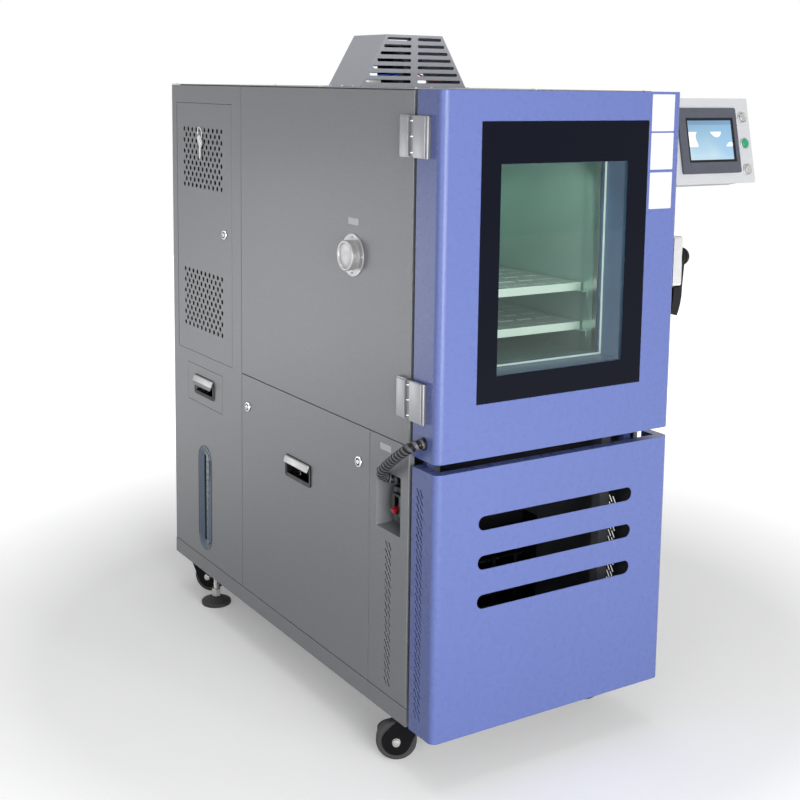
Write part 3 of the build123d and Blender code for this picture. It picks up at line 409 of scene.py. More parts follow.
@dataclass(frozen=True)
class Moulding(Finish):
    """Moulded plastic or rubber with a fine pebble grain."""

    roughness: float = 0.45
    relief: float = 0.15
    grain_size: float = 900.0
    glow: float = 0.0
    wear: float = 1.0
    specular: float = 0.35

    def make(self, shader: Shader) -> bpy.types.Material:
        """Builds the plastic.

        Args:
            shader: the empty material.

        Returns:
            The finished material.
        """
        pebble = shader.noise(self.grain_size, 2.0)
        dust = shader.noise(60.0, 4.0)
        colour = shader.blend(dust, shades(self.colour, 1 - 0.15 * self.wear), shades(self.colour, 1 + 0.2 * self.wear))
        gloss = shader.between(dust, self.roughness - 0.05 * self.wear, self.roughness + 0.08 * self.wear)
        plastic = shader.node("BsdfPrincipled", Base_Color=colour, Roughness=gloss)
        plastic.inputs["Specular IOR Level"].default_value = self.specular
        shader.feed(plastic.inputs["Normal"], shader.bump(pebble, self.relief, 0.0003, 0.0006))
        if self.glow:
            plastic.inputs["Emission Color"].default_value = (*self.colour, 1.0)
            plastic.inputs["Emission Strength"].default_value = self.glow
        return shader.close(plastic.outputs["BSDF"])


@dataclass(frozen=True)
class PaneGlass(Finish):
    """Flat pane: tinted and clear, with a mirror-like face that grows at low angles."""

    mirror: float = 0.4

    def make(self, shader: Shader) -> bpy.types.Material:
        """Builds the glass.

        Args:
            shader: the empty material.

        Returns:
            The finished material.
        """
        smear = shader.noise(9.0, 4.0)
        body = shader.node("BsdfTransparent", Color=shader.blend(smear, shades(self.colour, 0.97),
                                                                 shades(self.colour, 1.02)))
        shine = shader.node("BsdfGlossy", Roughness=shader.between(smear, 0.01, 0.04))
        fresnel = shader.node("Fresnel", IOR=1.45).outputs["Fac"]
        share = shader.sums("MULTIPLY", fresnel, self.mirror)
        return shader.close(shader.mix(share, body.outputs["BSDF"], shine.outputs["BSDF"]))


@dataclass(frozen=True)
class PiercedSteel(Finish):
    """Stainless sheet with a close pattern of small slots."""

    across: float = 0.0075
    along: float = 0.036
    open_across: float = 0.27
    open_along: float = 0.34
    edge: Colour = (0.62, 0.62, 0.57)

    def make(self, shader: Shader) -> bpy.types.Material:
        """Builds the sheet, with slots only where it lies flat.

        Args:
            shader: the empty material.

        Returns:
            The finished material.
        """
        marks = shader.noise(20.0, 3.0, shader.stretched(Grain.ALONG_X.value))
        split = shader.node("SeparateXYZ", Vector=shader.stretched((1 / self.across, 1 / self.along, 1.0)))
        row = shader.sums("FLOOR", split.outputs["X"])
        shift = shader.sums("MULTIPLY", shader.sums("MODULO", row, 2.0), 0.5)
        across = shader.sums("SUBTRACT", shader.sums("FRACT", split.outputs["X"]), 0.5)
        along = shader.sums("SUBTRACT", shader.sums("FRACT", shader.sums("ADD", split.outputs["Y"], shift)), 0.5)
        inside = shader.sums("MULTIPLY", shader.sums("LESS_THAN", shader.sums("ABSOLUTE", across), self.open_across),
                             shader.sums("LESS_THAN", shader.sums("ABSOLUTE", along), self.open_along))
        normal = shader.node("NewGeometry").outputs["Normal"]
        level = shader.node("SeparateXYZ", Vector=normal).outputs["Z"]
        flat = shader.sums("GREATER_THAN", shader.sums("ABSOLUTE", level), 0.9)
        sheet = shader.blend(marks, shades(self.colour, 0.9), shades(self.colour, 1.1))
        metal = shader.node("BsdfPrincipled", Roughness=shader.between(marks, 0.34, 0.50), Metallic=0.8,
                            Base_Color=shader.blend(flat, self.edge, sheet))
        gap = shader.node("BsdfTransparent")
        share = shader.sums("MULTIPLY", inside, flat)
        return shader.close(shader.mix(share, metal.outputs["BSDF"], gap.outputs["BSDF"]))


@dataclass(frozen=True)
class LitScreen(Finish):
    """Touch screen that is switched on: a pale blue page behind glass."""

    low: Point = (0.0, 0.0, 0.0)
    high: Point = (1.0, 1.0, 1.0)

    def make(self, shader: Shader) -> bpy.types.Material:
        """Builds the screen.

        Args:
            shader: the empty material.

        Returns:
            The finished material.
        """
        split = shader.node("SeparateXYZ", Vector=shader.coords)
        height = shader.between(split.outputs["Z"], 0.0, 1.0, self.low[2], self.high[2])
        across = shader.between(split.outputs["X"], 0.0, 1.0, self.low[0], self.high[0])
        page = shader.blend(height, (0.52, 0.68, 0.74), (0.16, 0.30, 0.42))
        tint = shader.between(shader.noise(11.0, 1.0), 0.0, 0.6, 0.35, 0.65)
        page = shader.blend(tint, page, (0.20, 0.42, 0.68))
        glare = shader.between(shader.noise(23.0, 0.0), 0.0, 1.0, 0.53, 0.57)
        inner = shader.sums("MULTIPLY", shader.sums("GREATER_THAN", height, 0.34),
                            shader.sums("LESS_THAN", height, 0.72))
        page = shader.blend(shader.sums("MULTIPLY", glare, inner), page, (0.93, 0.96, 1.0))
        band = shader.sums("MULTIPLY", shader.sums("GREATER_THAN", height, 0.9), 0.6)
        page = shader.blend(band, page, (0.10, 0.20, 0.36))
        foot = shader.sums("MULTIPLY", shader.sums("LESS_THAN", height, 0.10), 0.5)
        page = shader.blend(foot, page, (0.40, 0.55, 0.66))
        edge = shader.sums("MULTIPLY", shader.sums("GREATER_THAN", across, 0.985), 0.3)
        page = shader.blend(edge, page, (0.05, 0.08, 0.12))
        glass = shader.node("BsdfPrincipled", Base_Color=(0.02, 0.03, 0.04, 1.0), Roughness=0.08,
                            Emission_Color=page, Emission_Strength=1.15)
        return shader.close(glass.outputs["BSDF"])


class Finishes:
    """All the finishes of the chamber."""

    CASING = PowderCoat("casing_gray_powder_coat", (0.200, 0.206, 0.220), roughness=0.42, fleck=0.18, metallic=0.16,
                        specular=0.4)
    DOOR = PowderCoat("door_blue_powder_coat", (0.120, 0.160, 0.405), roughness=0.27, relief=0.10, fleck=0.03,
                      specular=0.32, coat=0.04)
    REVEAL = PowderCoat("window_reveal_paint", (0.060, 0.115, 0.225), roughness=0.35)
    BLACK_PAINT = PowderCoat("black_enamel", (0.006, 0.006, 0.007), roughness=0.26, fleck=0.04, specular=0.1, coat=0.0)
    STAINLESS = BrushedSheet("stainless_liner", (0.56, 0.58, 0.55), grain=Grain.ALONG_Z, roughness=0.30)
    LINER = BrushedSheet("chamber_liner_steel", (0.40, 0.53, 0.475), grain=Grain.ALONG_Z, roughness=0.34, metallic=0.8)
    HOOD = PowderCoat("hood_gray_paint", (0.340, 0.350, 0.390), roughness=0.42, fleck=0.08, metallic=0.30)
    HINGE = BrushedSheet("satin_hinge_metal", (0.325, 0.33, 0.345), grain=Grain.ALONG_Z, roughness=0.36, metallic=0.6)
    # Dark metal for the hinge knuckles and the door plate's base: painted shade of the groove between the plates and
    # under the plate's overhang.
    HINGE_SHADE = BrushedSheet("hinge_metal_painted_shade", (0.16, 0.17, 0.18), grain=Grain.ALONG_Z, roughness=0.42)
    PLATE = BrushedSheet("brushed_control_plate", (0.58, 0.59, 0.61), grain=Grain.ALONG_X, roughness=0.36, metallic=0.3)
    FINS = BrushedSheet("coil_fin_aluminium", (0.62, 0.63, 0.64), grain=Grain.ALONG_X, roughness=0.40)
    CHROME = Plating("bright_chrome", (0.78, 0.78, 0.79), roughness=0.10)
    SATIN_CHROME = Plating("satin_chrome", (0.72, 0.72, 0.72), roughness=0.26)
    SATIN_METAL = Plating("pale_satin_metal", (0.44, 0.435, 0.44), roughness=0.36, metallic=0.55)
    SPACER = Plating("pale_spacer_metal", (0.80, 0.79, 0.72), roughness=0.42, metallic=0.2)
    KEY_NICKEL = Plating("bright_key_nickel", (0.82, 0.82, 0.82), roughness=0.25, metallic=0.35)
    ZINC = Plating("zinc_plating", (0.52, 0.52, 0.50), roughness=0.34)
    SHELF = PiercedSteel("pierced_shelf_steel", (0.60, 0.63, 0.61))
    BLACK = Moulding("black_moulding", (0.007, 0.007, 0.008), roughness=0.34, specular=0.2)
    RUBBER = Moulding("black_rubber", (0.006, 0.006, 0.006), roughness=0.45, relief=0.2, specular=0.05)
    SILICONE = Moulding("pale_silicone", (0.40, 0.40, 0.37), roughness=0.5)
    BEZEL = Moulding("screen_bezel_gray", (0.070, 0.076, 0.096), roughness=0.42, relief=0.25)
    SOCKET = Moulding("breaker_teal", (0.012, 0.045, 0.050), roughness=0.4)
    RED = Moulding("signal_red", (0.40, 0.006, 0.02), roughness=0.28)
    GREEN = Moulding("signal_green", (0.01, 0.26, 0.12), roughness=0.22, glow=0.25)
    BLUE = Moulding("gauge_blue", (0.040, 0.085, 0.145), roughness=0.16, relief=0.05)
    GAUGE_RIM = Moulding("gauge_rim", (0.085, 0.130, 0.185), roughness=0.16, relief=0.05)
    GAUGE_DARK = Moulding("gauge_slot", (0.012, 0.028, 0.050), roughness=0.15, relief=0.05)
    PAPER = Moulding("plain_white_label", (0.72, 0.72, 0.73), roughness=0.5, relief=0.05, wear=0.15)
    INK = Moulding("printed_gray", (0.20, 0.22, 0.25), roughness=0.5, relief=0.05)
    FOAM = Moulding("insulation_foam", (0.55, 0.48, 0.28), roughness=0.9, relief=0.6, grain_size=200.0)
    WRAP = Moulding("cable_wrap_black", (0.005, 0.005, 0.006), roughness=0.30, specular=0.2)
    # Lighter copy of the black wrap for the ridge tops: a painted highlight.
    WRAP_RIDGE_HIGHLIGHT = Moulding("cable_wrap_ridge_painted_highlight", (0.095, 0.095, 0.110), roughness=0.24)
    WIRE_BLUE = Moulding("wire_blue", (0.02, 0.07, 0.45), roughness=0.4)
    WIRE_RED = Moulding("wire_red", (0.45, 0.02, 0.02), roughness=0.4)
    FRIT = Moulding("window_black_border", (0.003, 0.004, 0.010), roughness=0.12, relief=0.0, wear=0.1, specular=0.08)
    OUTER_PANE = PaneGlass("outer_pane", (0.935, 0.978, 0.968), mirror=0.20)
    SIGHT = PaneGlass("sight_tube", (0.75, 0.85, 0.92), mirror=0.8)


class Form:
    """A mesh under construction, in the drawing's millimetres."""

    def __init__(self) -> None:
        """Starts an empty mesh."""
        self.mesh = bmesh.new()

    def block(self, x: Span, y: Span, z: Span) -> "Form":
        """Adds a box between two opposite corners."""
        corners = [self.mesh.verts.new((a, b, c)) for a in x for b in y for c in z]
        for ids in ((0, 1, 3, 2), (4, 6, 7, 5), (0, 4, 5, 1), (2, 3, 7, 6), (0, 2, 6, 4), (1, 5, 7, 3)):
            self.mesh.faces.new([corners[i] for i in ids])
        return self

    def lathe(self, origin: Point, way: Vector, profile: list[Span], sides: int = 40) -> "Form":
        """Turns a profile about a line.

        Args:
            origin: start of the line.
            way: direction of the line.
            profile: radius and height of each point; a radius of 0 closes an end.
            sides: facets round the line.

        Returns:
            The form itself.
        """
        spin = Vector(way).normalized().to_track_quat("Z", "Y").to_matrix()
        rings = []
        for radius, height in profile:
            count = 1 if radius == 0 else sides
            ring = []
            for i in range(count):
                angle = 2 * math.pi * i / sides
                local = Vector((radius * math.cos(angle), radius * math.sin(angle), height))
                ring.append(self.mesh.verts.new(Vector(origin) + spin @ local))
            rings.append(ring)
        for low, high in zip(rings, rings[1:]):
            for i in range(sides):
                j = (i + 1) % sides
                quad = [low[i % len(low)], low[j % len(low)], high[j % len(high)], high[i % len(high)]]
                corners = list(dict.fromkeys(quad))
                if len(corners) > 2:
                    self.mesh.faces.new(corners)
        return self

    def rod(self, origin: Point, way: Vector, radius: float, length: float, sides: int = 32,
            edge: float = 0.6) -> "Form":
        """Adds a closed round bar with slightly broken edges."""
        profile = [(0, 0), (radius - edge, 0), (radius, edge), (radius, length - edge), (radius - edge, length),
                   (0, length)]
        return self.lathe(origin, way, profile, sides)

    def prism(self, face: Face, outline: list[Span], low: float, high: float) -> "Form":
        """Adds a solid with the outline's shape, between two heights over a face."""
        bottom = [self.mesh.verts.new(face.at(a, b, low)) for a, b in outline]
        top = [self.mesh.verts.new(face.at(a, b, high)) for a, b in outline]
        self.mesh.faces.new(bottom[::-1])
        self.mesh.faces.new(top)
        for i in range(len(outline)):
            j = (i + 1) % len(outline)
            self.mesh.faces.new((bottom[i], bottom[j], top[j], top[i]))
        return self

    def plate(self, face: Face, outline: list[Span], holes: list[list[Span]], low: float, high: float) -> "Form":
        """Adds a flat sheet with holes.

        Args:
            face: the face that the sheet lies on.
            outline: the sheet's edge.
            holes: edge of each hole.
            low: height of the sheet's back over the face.
            high: height of its front.

        Returns:
            The form itself.
        """
        sheet = bmesh.new()
        for loop in (outline, *holes):
            ring = [sheet.verts.new((a, b, 0.0)) for a, b in loop]
            for i in range(len(ring)):
                sheet.edges.new((ring[i], ring[(i + 1) % len(ring)]))
        bmesh.ops.triangle_fill(sheet, edges=sheet.edges[:], use_beauty=True)
        sheet.verts.ensure_lookup_table()
        places = [vert.co.copy() for vert in sheet.verts]
        fills = [[vert.index for vert in one.verts] for one in sheet.faces]
        rims = [[vert.index for vert in edge.verts] for edge in sheet.edges if len(edge.link_faces) == 1]
        sheet.free()
        front = [self.mesh.verts.new(face.at(p.x, p.y, high)) for p in places]
        back = [self.mesh.verts.new(face.at(p.x, p.y, low)) for p in places]
        for ids in fills:
            self.mesh.faces.new([front[i] for i in ids])
            self.mesh.faces.new([back[i] for i in reversed(ids)])
        for i, j in rims:
            self.mesh.faces.new((front[i], front[j], back[j], back[i]))
        return self

    def pipe(self, points: list[Vector], radius: float, sides: int = 12) -> "Form":
        """Adds a round wire or tube along a line of points."""
        frames = carried_frames(points)
        rings = []
        for point, (side, over) in zip(points, frames):
            ring = []
            for i in range(sides):
                angle = 2 * math.pi * i / sides
                ring.append(self.mesh.verts.new(point + side * radius * math.cos(angle)
                                                + over * radius * math.sin(angle)))
            rings.append(ring)
        self.skin(rings)
        self.mesh.faces.new(rings[0][::-1])
        self.mesh.faces.new(rings[-1])
        return self

    def skin(self, rings: list[list[bmesh.types.BMVert]]) -> None:
        """Joins each ring of points to the next one."""
        for low, high in zip(rings, rings[1:]):
            for i in range(len(low)):
                j = (i + 1) % len(low)
                self.mesh.faces.new((low[i], low[j], high[j], high[i]))

    def bevel(self, width: float, angle: float = 30.0, segments: int = 2) -> "Form":
        """Rounds every edge that is sharper than an angle."""
        self.mesh.normal_update()
        sharp = [
            edge for edge in self.mesh.edges
            if edge.is_manifold and edge.calc_face_angle(0.0) > math.radians(angle)
        ]
        bmesh.ops.bevel(self.mesh, geom=sharp, offset=width, segments=segments, profile=0.6, affect="EDGES",
                        clamp_overlap=True)
        return self

    def join(self, other: "Form") -> "Form":
        """Takes over another form's faces."""
        data = bpy.data.meshes.new("joined")
        other.mesh.to_mesh(data)
        other.mesh.free()
        self.mesh.from_mesh(data)
        bpy.data.meshes.remove(data)
        return self

    @classmethod
    def stepped(cls, *layers: tuple[Span, Span, Span, float]) -> "Form":
        """Blocks laid on each other, each with its own broken edges.

        Args:
            *layers: spans along x, y and z, and edge width, of each block.

        Returns:
            A form with all the blocks.
        """
        whole = cls()
        for x, y, z, edge in layers:
            whole.join(cls().block(x, y, z).bevel(edge))
        return whole

    def make(self, name: str, finish: Finish, body: str = "cabinet", smooth: float = 32.0) -> bpy.types.Object:
        """Turns the form into a piece that rides on a body.

        Args:
            name: the piece's name.
            finish: what covers it.
            body: the body that it moves with.
            smooth: angle up to which faces shade as one curve.

        Returns:
            The new object.
        """
        bmesh.ops.recalc_face_normals(self.mesh, faces=self.mesh.faces[:])
        for vert in self.mesh.verts:
            vert.co = DRAWING.place(vert.co)
        data = bpy.data.meshes.new(name)
        self.mesh.to_mesh(data)
        self.mesh.free()
        data.materials.append(finish.material())
        data.shade_smooth()
        data.set_sharp_from_angle(angle=math.radians(smooth))
        made = bpy.data.objects.new(name, data)
        bpy.context.scene.collection.objects.link(made)
        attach(made, body)
        return made


def carried_frames(points: list[Vector]) -> list[tuple[Vector, Vector]]:
    """Side directions along a line that don't twist about it.

    Args:
        points: the line's points.

    Returns:
        Two directions across the line, for each point.
    """
    ways = []
    for i in range(len(points)):
        before, after = points[max(i - 1, 0)], points[min(i + 1, len(points) - 1)]
        ways.append((after - before).normalized())
    side = ways[0].orthogonal().normalized()
    frames = []
    for way in ways:
        side = (side - way * side.dot(way)).normalized()
        frames.append((side, way.cross(side)))
    return frames


def dress(nodes: dict[str, Finish]) -> None:
    """Gives CAD nodes their finishes."""
    for name, finish in nodes.items():
        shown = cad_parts[name]
        shown.data.materials.clear()
        shown.data.materials.append(finish.material())
        shown.data.shade_smooth()
        shown.data.set_sharp_from_angle(angle=math.radians(28))


def screw(form: Form, place: Vector, way: Vector, radius: float = 3.6, height: float = 2.2) -> None:
    """Adds a domed screw head with a cross socket.

    Args:
        form: the form that gets it.
        place: middle of the head's underside.
        way: the way that the head points.
        radius: the head's radius.
        height: the head's height.
    """
    profile = [(radius, 0), (radius, height * 0.35), (radius * 0.8, height * 0.8), (radius * 0.42, height),
               (radius * 0.36, height * 0.55), (0, height * 0.5)]
    form.lathe(place, way, profile, 14)


@dataclass
@dataclass(frozen=True)
class Lamp:
    """A soft lamp.

    Attributes:
        name: the lamp's name.
        place: where it hangs, in drawing millimetres.
        target: what it points at.
        width: its width.
        power: its power in watts.
        height: its height, or 0 for a square lamp.
    """

    name: str
    place: Point
    target: Point
    width: float
    power: float
    height: float = 0.0

    def build(self) -> None:
        """Hangs the lamp."""
        data = bpy.data.lights.new(self.name, "AREA")
        data.shape = "RECTANGLE"
        data.size = self.width / 1000
        data.size_y = (self.height or self.width) / 1000
        data.energy = self.power
        made = bpy.data.objects.new(self.name, data)
        made.location = DRAWING.place(self.place)
        aim = DRAWING.place(self.target) - made.location
        made.rotation_euler = aim.to_track_quat("-Z", "Y").to_euler()
        bpy.context.scene.collection.objects.link(made)


@dataclass
class Studio:
    """A camera near the photograph's, and the plain studio round the chamber.

    Attributes:
        eye: the camera's place, in drawing millimetres.
        yaw: turn from straight back towards the right, in radians.
        pitch: tilt above the horizon.
        roll: turn about the view line.
        focal: focal length, in pixels of the 800 pixel picture.
        centre: where the view line meets the picture.
        picture: side of the picture, in pixels.
        sensor: width of the camera's sensor, in millimetres.
        room_strength: light of the surroundings on the chamber.
        room_low: colour of the surroundings at the horizon and below.
        lamps: the soft lamps.
    """

    eye: Point = (-1592.316, -2457.182, 1512.378)
    yaw: float = 0.56590
    pitch: float = -0.14023
    roll: float = 0.01334
    focal: float = 1312.712
    centre: Span = (400.0, 268.0)
    picture: float = 800.0
    sensor: float = 36.0
    room_strength: float = 0.30
    room_low: Colour = (0.22, 0.23, 0.26)
    lamps: tuple[Lamp, ...] = (
        Lamp("key_softbox", (-500.0, -3700.0, 1000.0), (300.0, 0.0, 700.0), 2400.0, 165.0),
        Lamp("side_softbox", (-3300.0, -1900.0, 1200.0), (0.0, 300.0, 700.0), 2000.0, 31.0),
        Lamp("rear_left_softbox", (-2200.0, 3800.0, 300.0), (0.0, 700.0, 500.0), 1500.0, 16.0),
        Lamp("edge_strip", (1300.0, -3700.0, 1100.0), (300.0, 0.0, 900.0), 320.0, 26.0, 2400.0),
        Lamp("top_softbox", (200.0, 500.0, 4200.0), (352.0, 600.0, 1400.0), 2600.0, 46.0),
        Lamp("chamber_light", (352.0, 120.0, 1335.0), (352.0, 300.0, 900.0), 260.0, 1.4),
        Lamp("chamber_fill", (352.0, 24.0, 1080.0), (352.0, 500.0, 1060.0), 420.0, 0.8),
    )

    def build(self) -> None:
        """Places the camera, the floor, the backdrop and the lamps."""
        self.camera()
        self.floor()
        self.world()
        for lamp in self.lamps:
            lamp.build()

    def camera(self) -> None:
        """Places the camera."""
        data = bpy.data.cameras.new("photograph_camera")
        data.sensor_width = self.sensor
        data.lens = self.focal / self.picture * self.sensor
        data.shift_x = (self.picture / 2 - self.centre[0]) / self.picture
        data.shift_y = -(self.picture / 2 - self.centre[1]) / self.picture
        data.clip_end = 100.0
        ahead = Vector((math.sin(self.yaw) * math.cos(self.pitch), math.cos(self.yaw) * math.cos(self.pitch),
                        math.sin(self.pitch)))
        level = Vector((math.cos(self.yaw), -math.sin(self.yaw), 0.0))
        over = level.cross(ahead)
        right = level * math.cos(self.roll) + over * math.sin(self.roll)
        up = over * math.cos(self.roll) - level * math.sin(self.roll)
        turn = Matrix((right, up, -ahead)).transposed().to_4x4()
        made = bpy.data.objects.new("photograph_camera", data)
        made.matrix_world = Matrix.Translation(DRAWING.place(self.eye)) @ turn
        bpy.context.scene.collection.objects.link(made)
        bpy.context.scene.camera = made

    def floor(self) -> None:
        """Lays a pale floor that keeps the chamber's soft shadow."""
        form = Form()
        form.block((-9000.0, 9000.0), (-9000.0, 9000.0), (DRAWING.floor_z - 2.0, DRAWING.floor_z - 0.1))
        shader = Shader("studio_floor")
        grain = shader.noise(6.0, 3.0)
        pale = shader.node("BsdfDiffuse", Color=shader.blend(grain, (0.80, 0.80, 0.80), (0.84, 0.84, 0.84)))
        away = shader.node("VectorMath", Vector=shader.coords)
        away.operation = "LENGTH"
        lift = shader.node("Emission", Strength=shader.between(away.outputs["Value"], 0.22, 1.0, 1.1, 2.6))
        seen = shader.node("AddShader")
        shader.tree.links.new(pale.outputs["BSDF"], seen.inputs[0])
        shader.tree.links.new(lift.outputs["Emission"], seen.inputs[1])
        room = shader.node("BsdfDiffuse", Color=(0.26, 0.26, 0.27, 1.0))
        path = shader.node("LightPath")
        shown = shader.sums("MAXIMUM", path.outputs["Is Camera Ray"], path.outputs["Is Glossy Ray"])
        shown = shader.sums("MAXIMUM", shown, path.outputs["Is Transmission Ray"])
        shader.close(shader.mix(shown, room.outputs["BSDF"], seen.outputs["Shader"]))
        bmesh.ops.recalc_face_normals(form.mesh, faces=form.mesh.faces[:])
        for vert in form.mesh.verts:
            vert.co = DRAWING.place(vert.co)
        data = bpy.data.meshes.new("studio_floor")
        form.mesh.to_mesh(data)
        form.mesh.free()
        data.materials.append(shader.material)
        made = bpy.data.objects.new("studio_floor", data)
        bpy.context.scene.collection.objects.link(made)

    def world(self) -> None:
        """Sets the pale surroundings, white where the camera sees them."""
        world = bpy.data.worlds.new("studio")
        bpy.context.scene.world = world
        world.use_nodes = True
        tree = world.node_tree
        tree.nodes.clear()
        out = tree.nodes.new("ShaderNodeOutputWorld")
        mix = tree.nodes.new("ShaderNodeMixShader")
        seen = tree.nodes.new("ShaderNodeBackground")
        seen.inputs["Color"].default_value = (1.0, 1.0, 1.0, 1.0)
        seen.inputs["Strength"].default_value = 1.0
        room = tree.nodes.new("ShaderNodeBackground")
        room.inputs["Strength"].default_value = self.room_strength
        coords = tree.nodes.new("ShaderNodeTexCoord")
        split = tree.nodes.new("ShaderNodeSeparateXYZ")
        ramp = tree.nodes.new("ShaderNodeValToRGB")
        ramp.color_ramp.elements[0].position = 0.0
        ramp.color_ramp.elements[0].color = (*self.room_low, 1.0)
        ramp.color_ramp.elements[1].position = 0.8
        ramp.color_ramp.elements[1].color = (1.0, 1.0, 1.0, 1.0)
        path = tree.nodes.new("ShaderNodeLightPath")
        tree.links.new(coords.outputs["Generated"], split.inputs["Vector"])
        tree.links.new(split.outputs["Z"], ramp.inputs["Fac"])
        tree.links.new(ramp.outputs["Color"], room.inputs["Color"])
        shown = path.outputs["Is Camera Ray"]
        for ray in ("Is Glossy Ray", "Is Transmission Ray"):
            either = tree.nodes.new("ShaderNodeMath")
            either.operation = "MAXIMUM"
            tree.links.new(shown, either.inputs[0])
            tree.links.new(path.outputs[ray], either.inputs[1])
            shown = either.outputs["Value"]
        tree.links.new(shown, mix.inputs["Fac"])
        tree.links.new(room.outputs["Background"], mix.inputs[1])
        tree.links.new(seen.outputs["Background"], mix.inputs[2])
        tree.links.new(mix.outputs["Shader"], out.inputs["Surface"])
        bpy.context.scene.view_settings.view_transform = "Standard"


@dataclass
class SpiralCable:
    """The spiral wrapped cable from the door into the breaker recess."""

    route: tuple[Point, ...] = (
        (-0.6, -60.0, 706.0), (-30.0, -60.0, 706.0), (-34.0, -15.0, 675.0), (-33.0, 36.0, 640.0),
        (-30.0, 76.0, 609.0), (-8.0, 96.0, 588.0), (24.0, 78.0, 581.0), (56.2, 78.0, 581.0),
    )
    core_radius: float = 10.5
    ridge: float = 2.0
    pitch: float = 13.5
    sides: int = 28

    def line(self) -> list[Vector]:
        """The cable's centre line.

        Returns:
            Close points read from the route's own smooth spline, in metres.
        """
        curve = bpy.data.curves.new("cable_route", "CURVE")
        curve.dimensions = "3D"
        curve.resolution_u = 40
        spline = curve.splines.new("NURBS")
        spline.points.add(len(self.route) - 1)
        for point, place in zip(spline.points, self.route):
            point.co = (*DRAWING.place(place), 1.0)
        spline.order_u = 3
        spline.use_endpoint_u = True
        holder = bpy.data.objects.new("cable_route", curve)
        mesh = bpy.data.meshes.new_from_object(holder)
        points = [vert.co.copy() for vert in mesh.vertices]
        bpy.data.meshes.remove(mesh)
        bpy.data.objects.remove(holder)
        bpy.data.curves.remove(curve)
        return points

    def build(self) -> bpy.types.Object:
        """Builds the wrapped cable, which runs in a curve from the door into the cabinet.

        Returns:
            The cable.
        """
        line = self.line()
        runs = [(b - a).length for a, b in zip(line, line[1:])]
        total = sum(runs)
        step = self.pitch / 1000 / 14
        count = int(total / step)
        points = resampled(line, runs, count)
        frames = carried_frames(points)
        mesh = bmesh.new()
        rings = []
        for index, (point, (side, over)) in enumerate(zip(points, frames)):
            ring = []
            for i in range(self.sides):
                angle = 2 * math.pi * i / self.sides
                radius = (self.core_radius + self.ridge * self.swell(index * step * 1000, angle)) / 1000
                ring.append(mesh.verts.new(point + (side * math.cos(angle) + over * math.sin(angle)) * radius))
            rings.append(ring)
        for index, (low, high) in enumerate(zip(rings, rings[1:])):
            for i in range(self.sides):
                j = (i + 1) % self.sides
                quad = mesh.faces.new((low[i], low[j], high[j], high[i]))
                # Faces on the ridge tops take the lighter copy of the black wrap: a painted highlight along each ridge.
                middle = 2 * math.pi * (i + 0.5) / self.sides
                quad.material_index = int(self.swell((index + 0.5) * step * 1000, middle) > 0.8)
                quad.smooth = True
        mesh.faces.new(rings[0][::-1])
        mesh.faces.new(rings[-1])
        bmesh.ops.recalc_face_normals(mesh, faces=mesh.faces[:])
        data = bpy.data.meshes.new("spiral_wrapped_cable")
        mesh.to_mesh(data)
        mesh.free()
        for finish in (Finishes.WRAP, Finishes.WRAP_RIDGE_HIGHLIGHT):
            data.materials.append(finish.material())
        cable = bpy.data.objects.new("spiral_wrapped_cable", data)
        bpy.context.scene.collection.objects.link(cable)
        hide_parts("spiral_cable")
        DRAWING.place((-33.0, 30.0, 642.0))
        DRAWING.place((-22.0, -58.0, 706.0))
        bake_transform(cable)
        return cable

    def swell(self, along: float, angle: float) -> float:
        """Height of the wrap at a point, from 0 in a groove to 1 on a ridge."""
        wave = 0.5 + 0.5 * math.sin(2 * math.pi * along / self.pitch - angle)
        return min(1.0, max(0.0, (wave - 0.25) / 0.45))


def resampled(line: list[Vector], runs: list[float], count: int) -> list[Vector]:
    """Evenly spaced points on a line.

    Args:
        line: the line's points.
        runs: length of each of its pieces.
        count: how many spaces are wanted.

    Returns:
        count + 1 points from the line's start to its end.
    """
    total, made, index, passed = sum(runs), [], 0, 0.0
    for step in range(count + 1):
        goal = total * step / count
        while index < len(runs) - 1 and passed + runs[index] < goal:
            passed += runs[index]
            index += 1
        share = min(1.0, (goal - passed) / runs[index]) if runs[index] else 0.0
        made.append(line[index].lerp(line[index + 1], share))
    return made


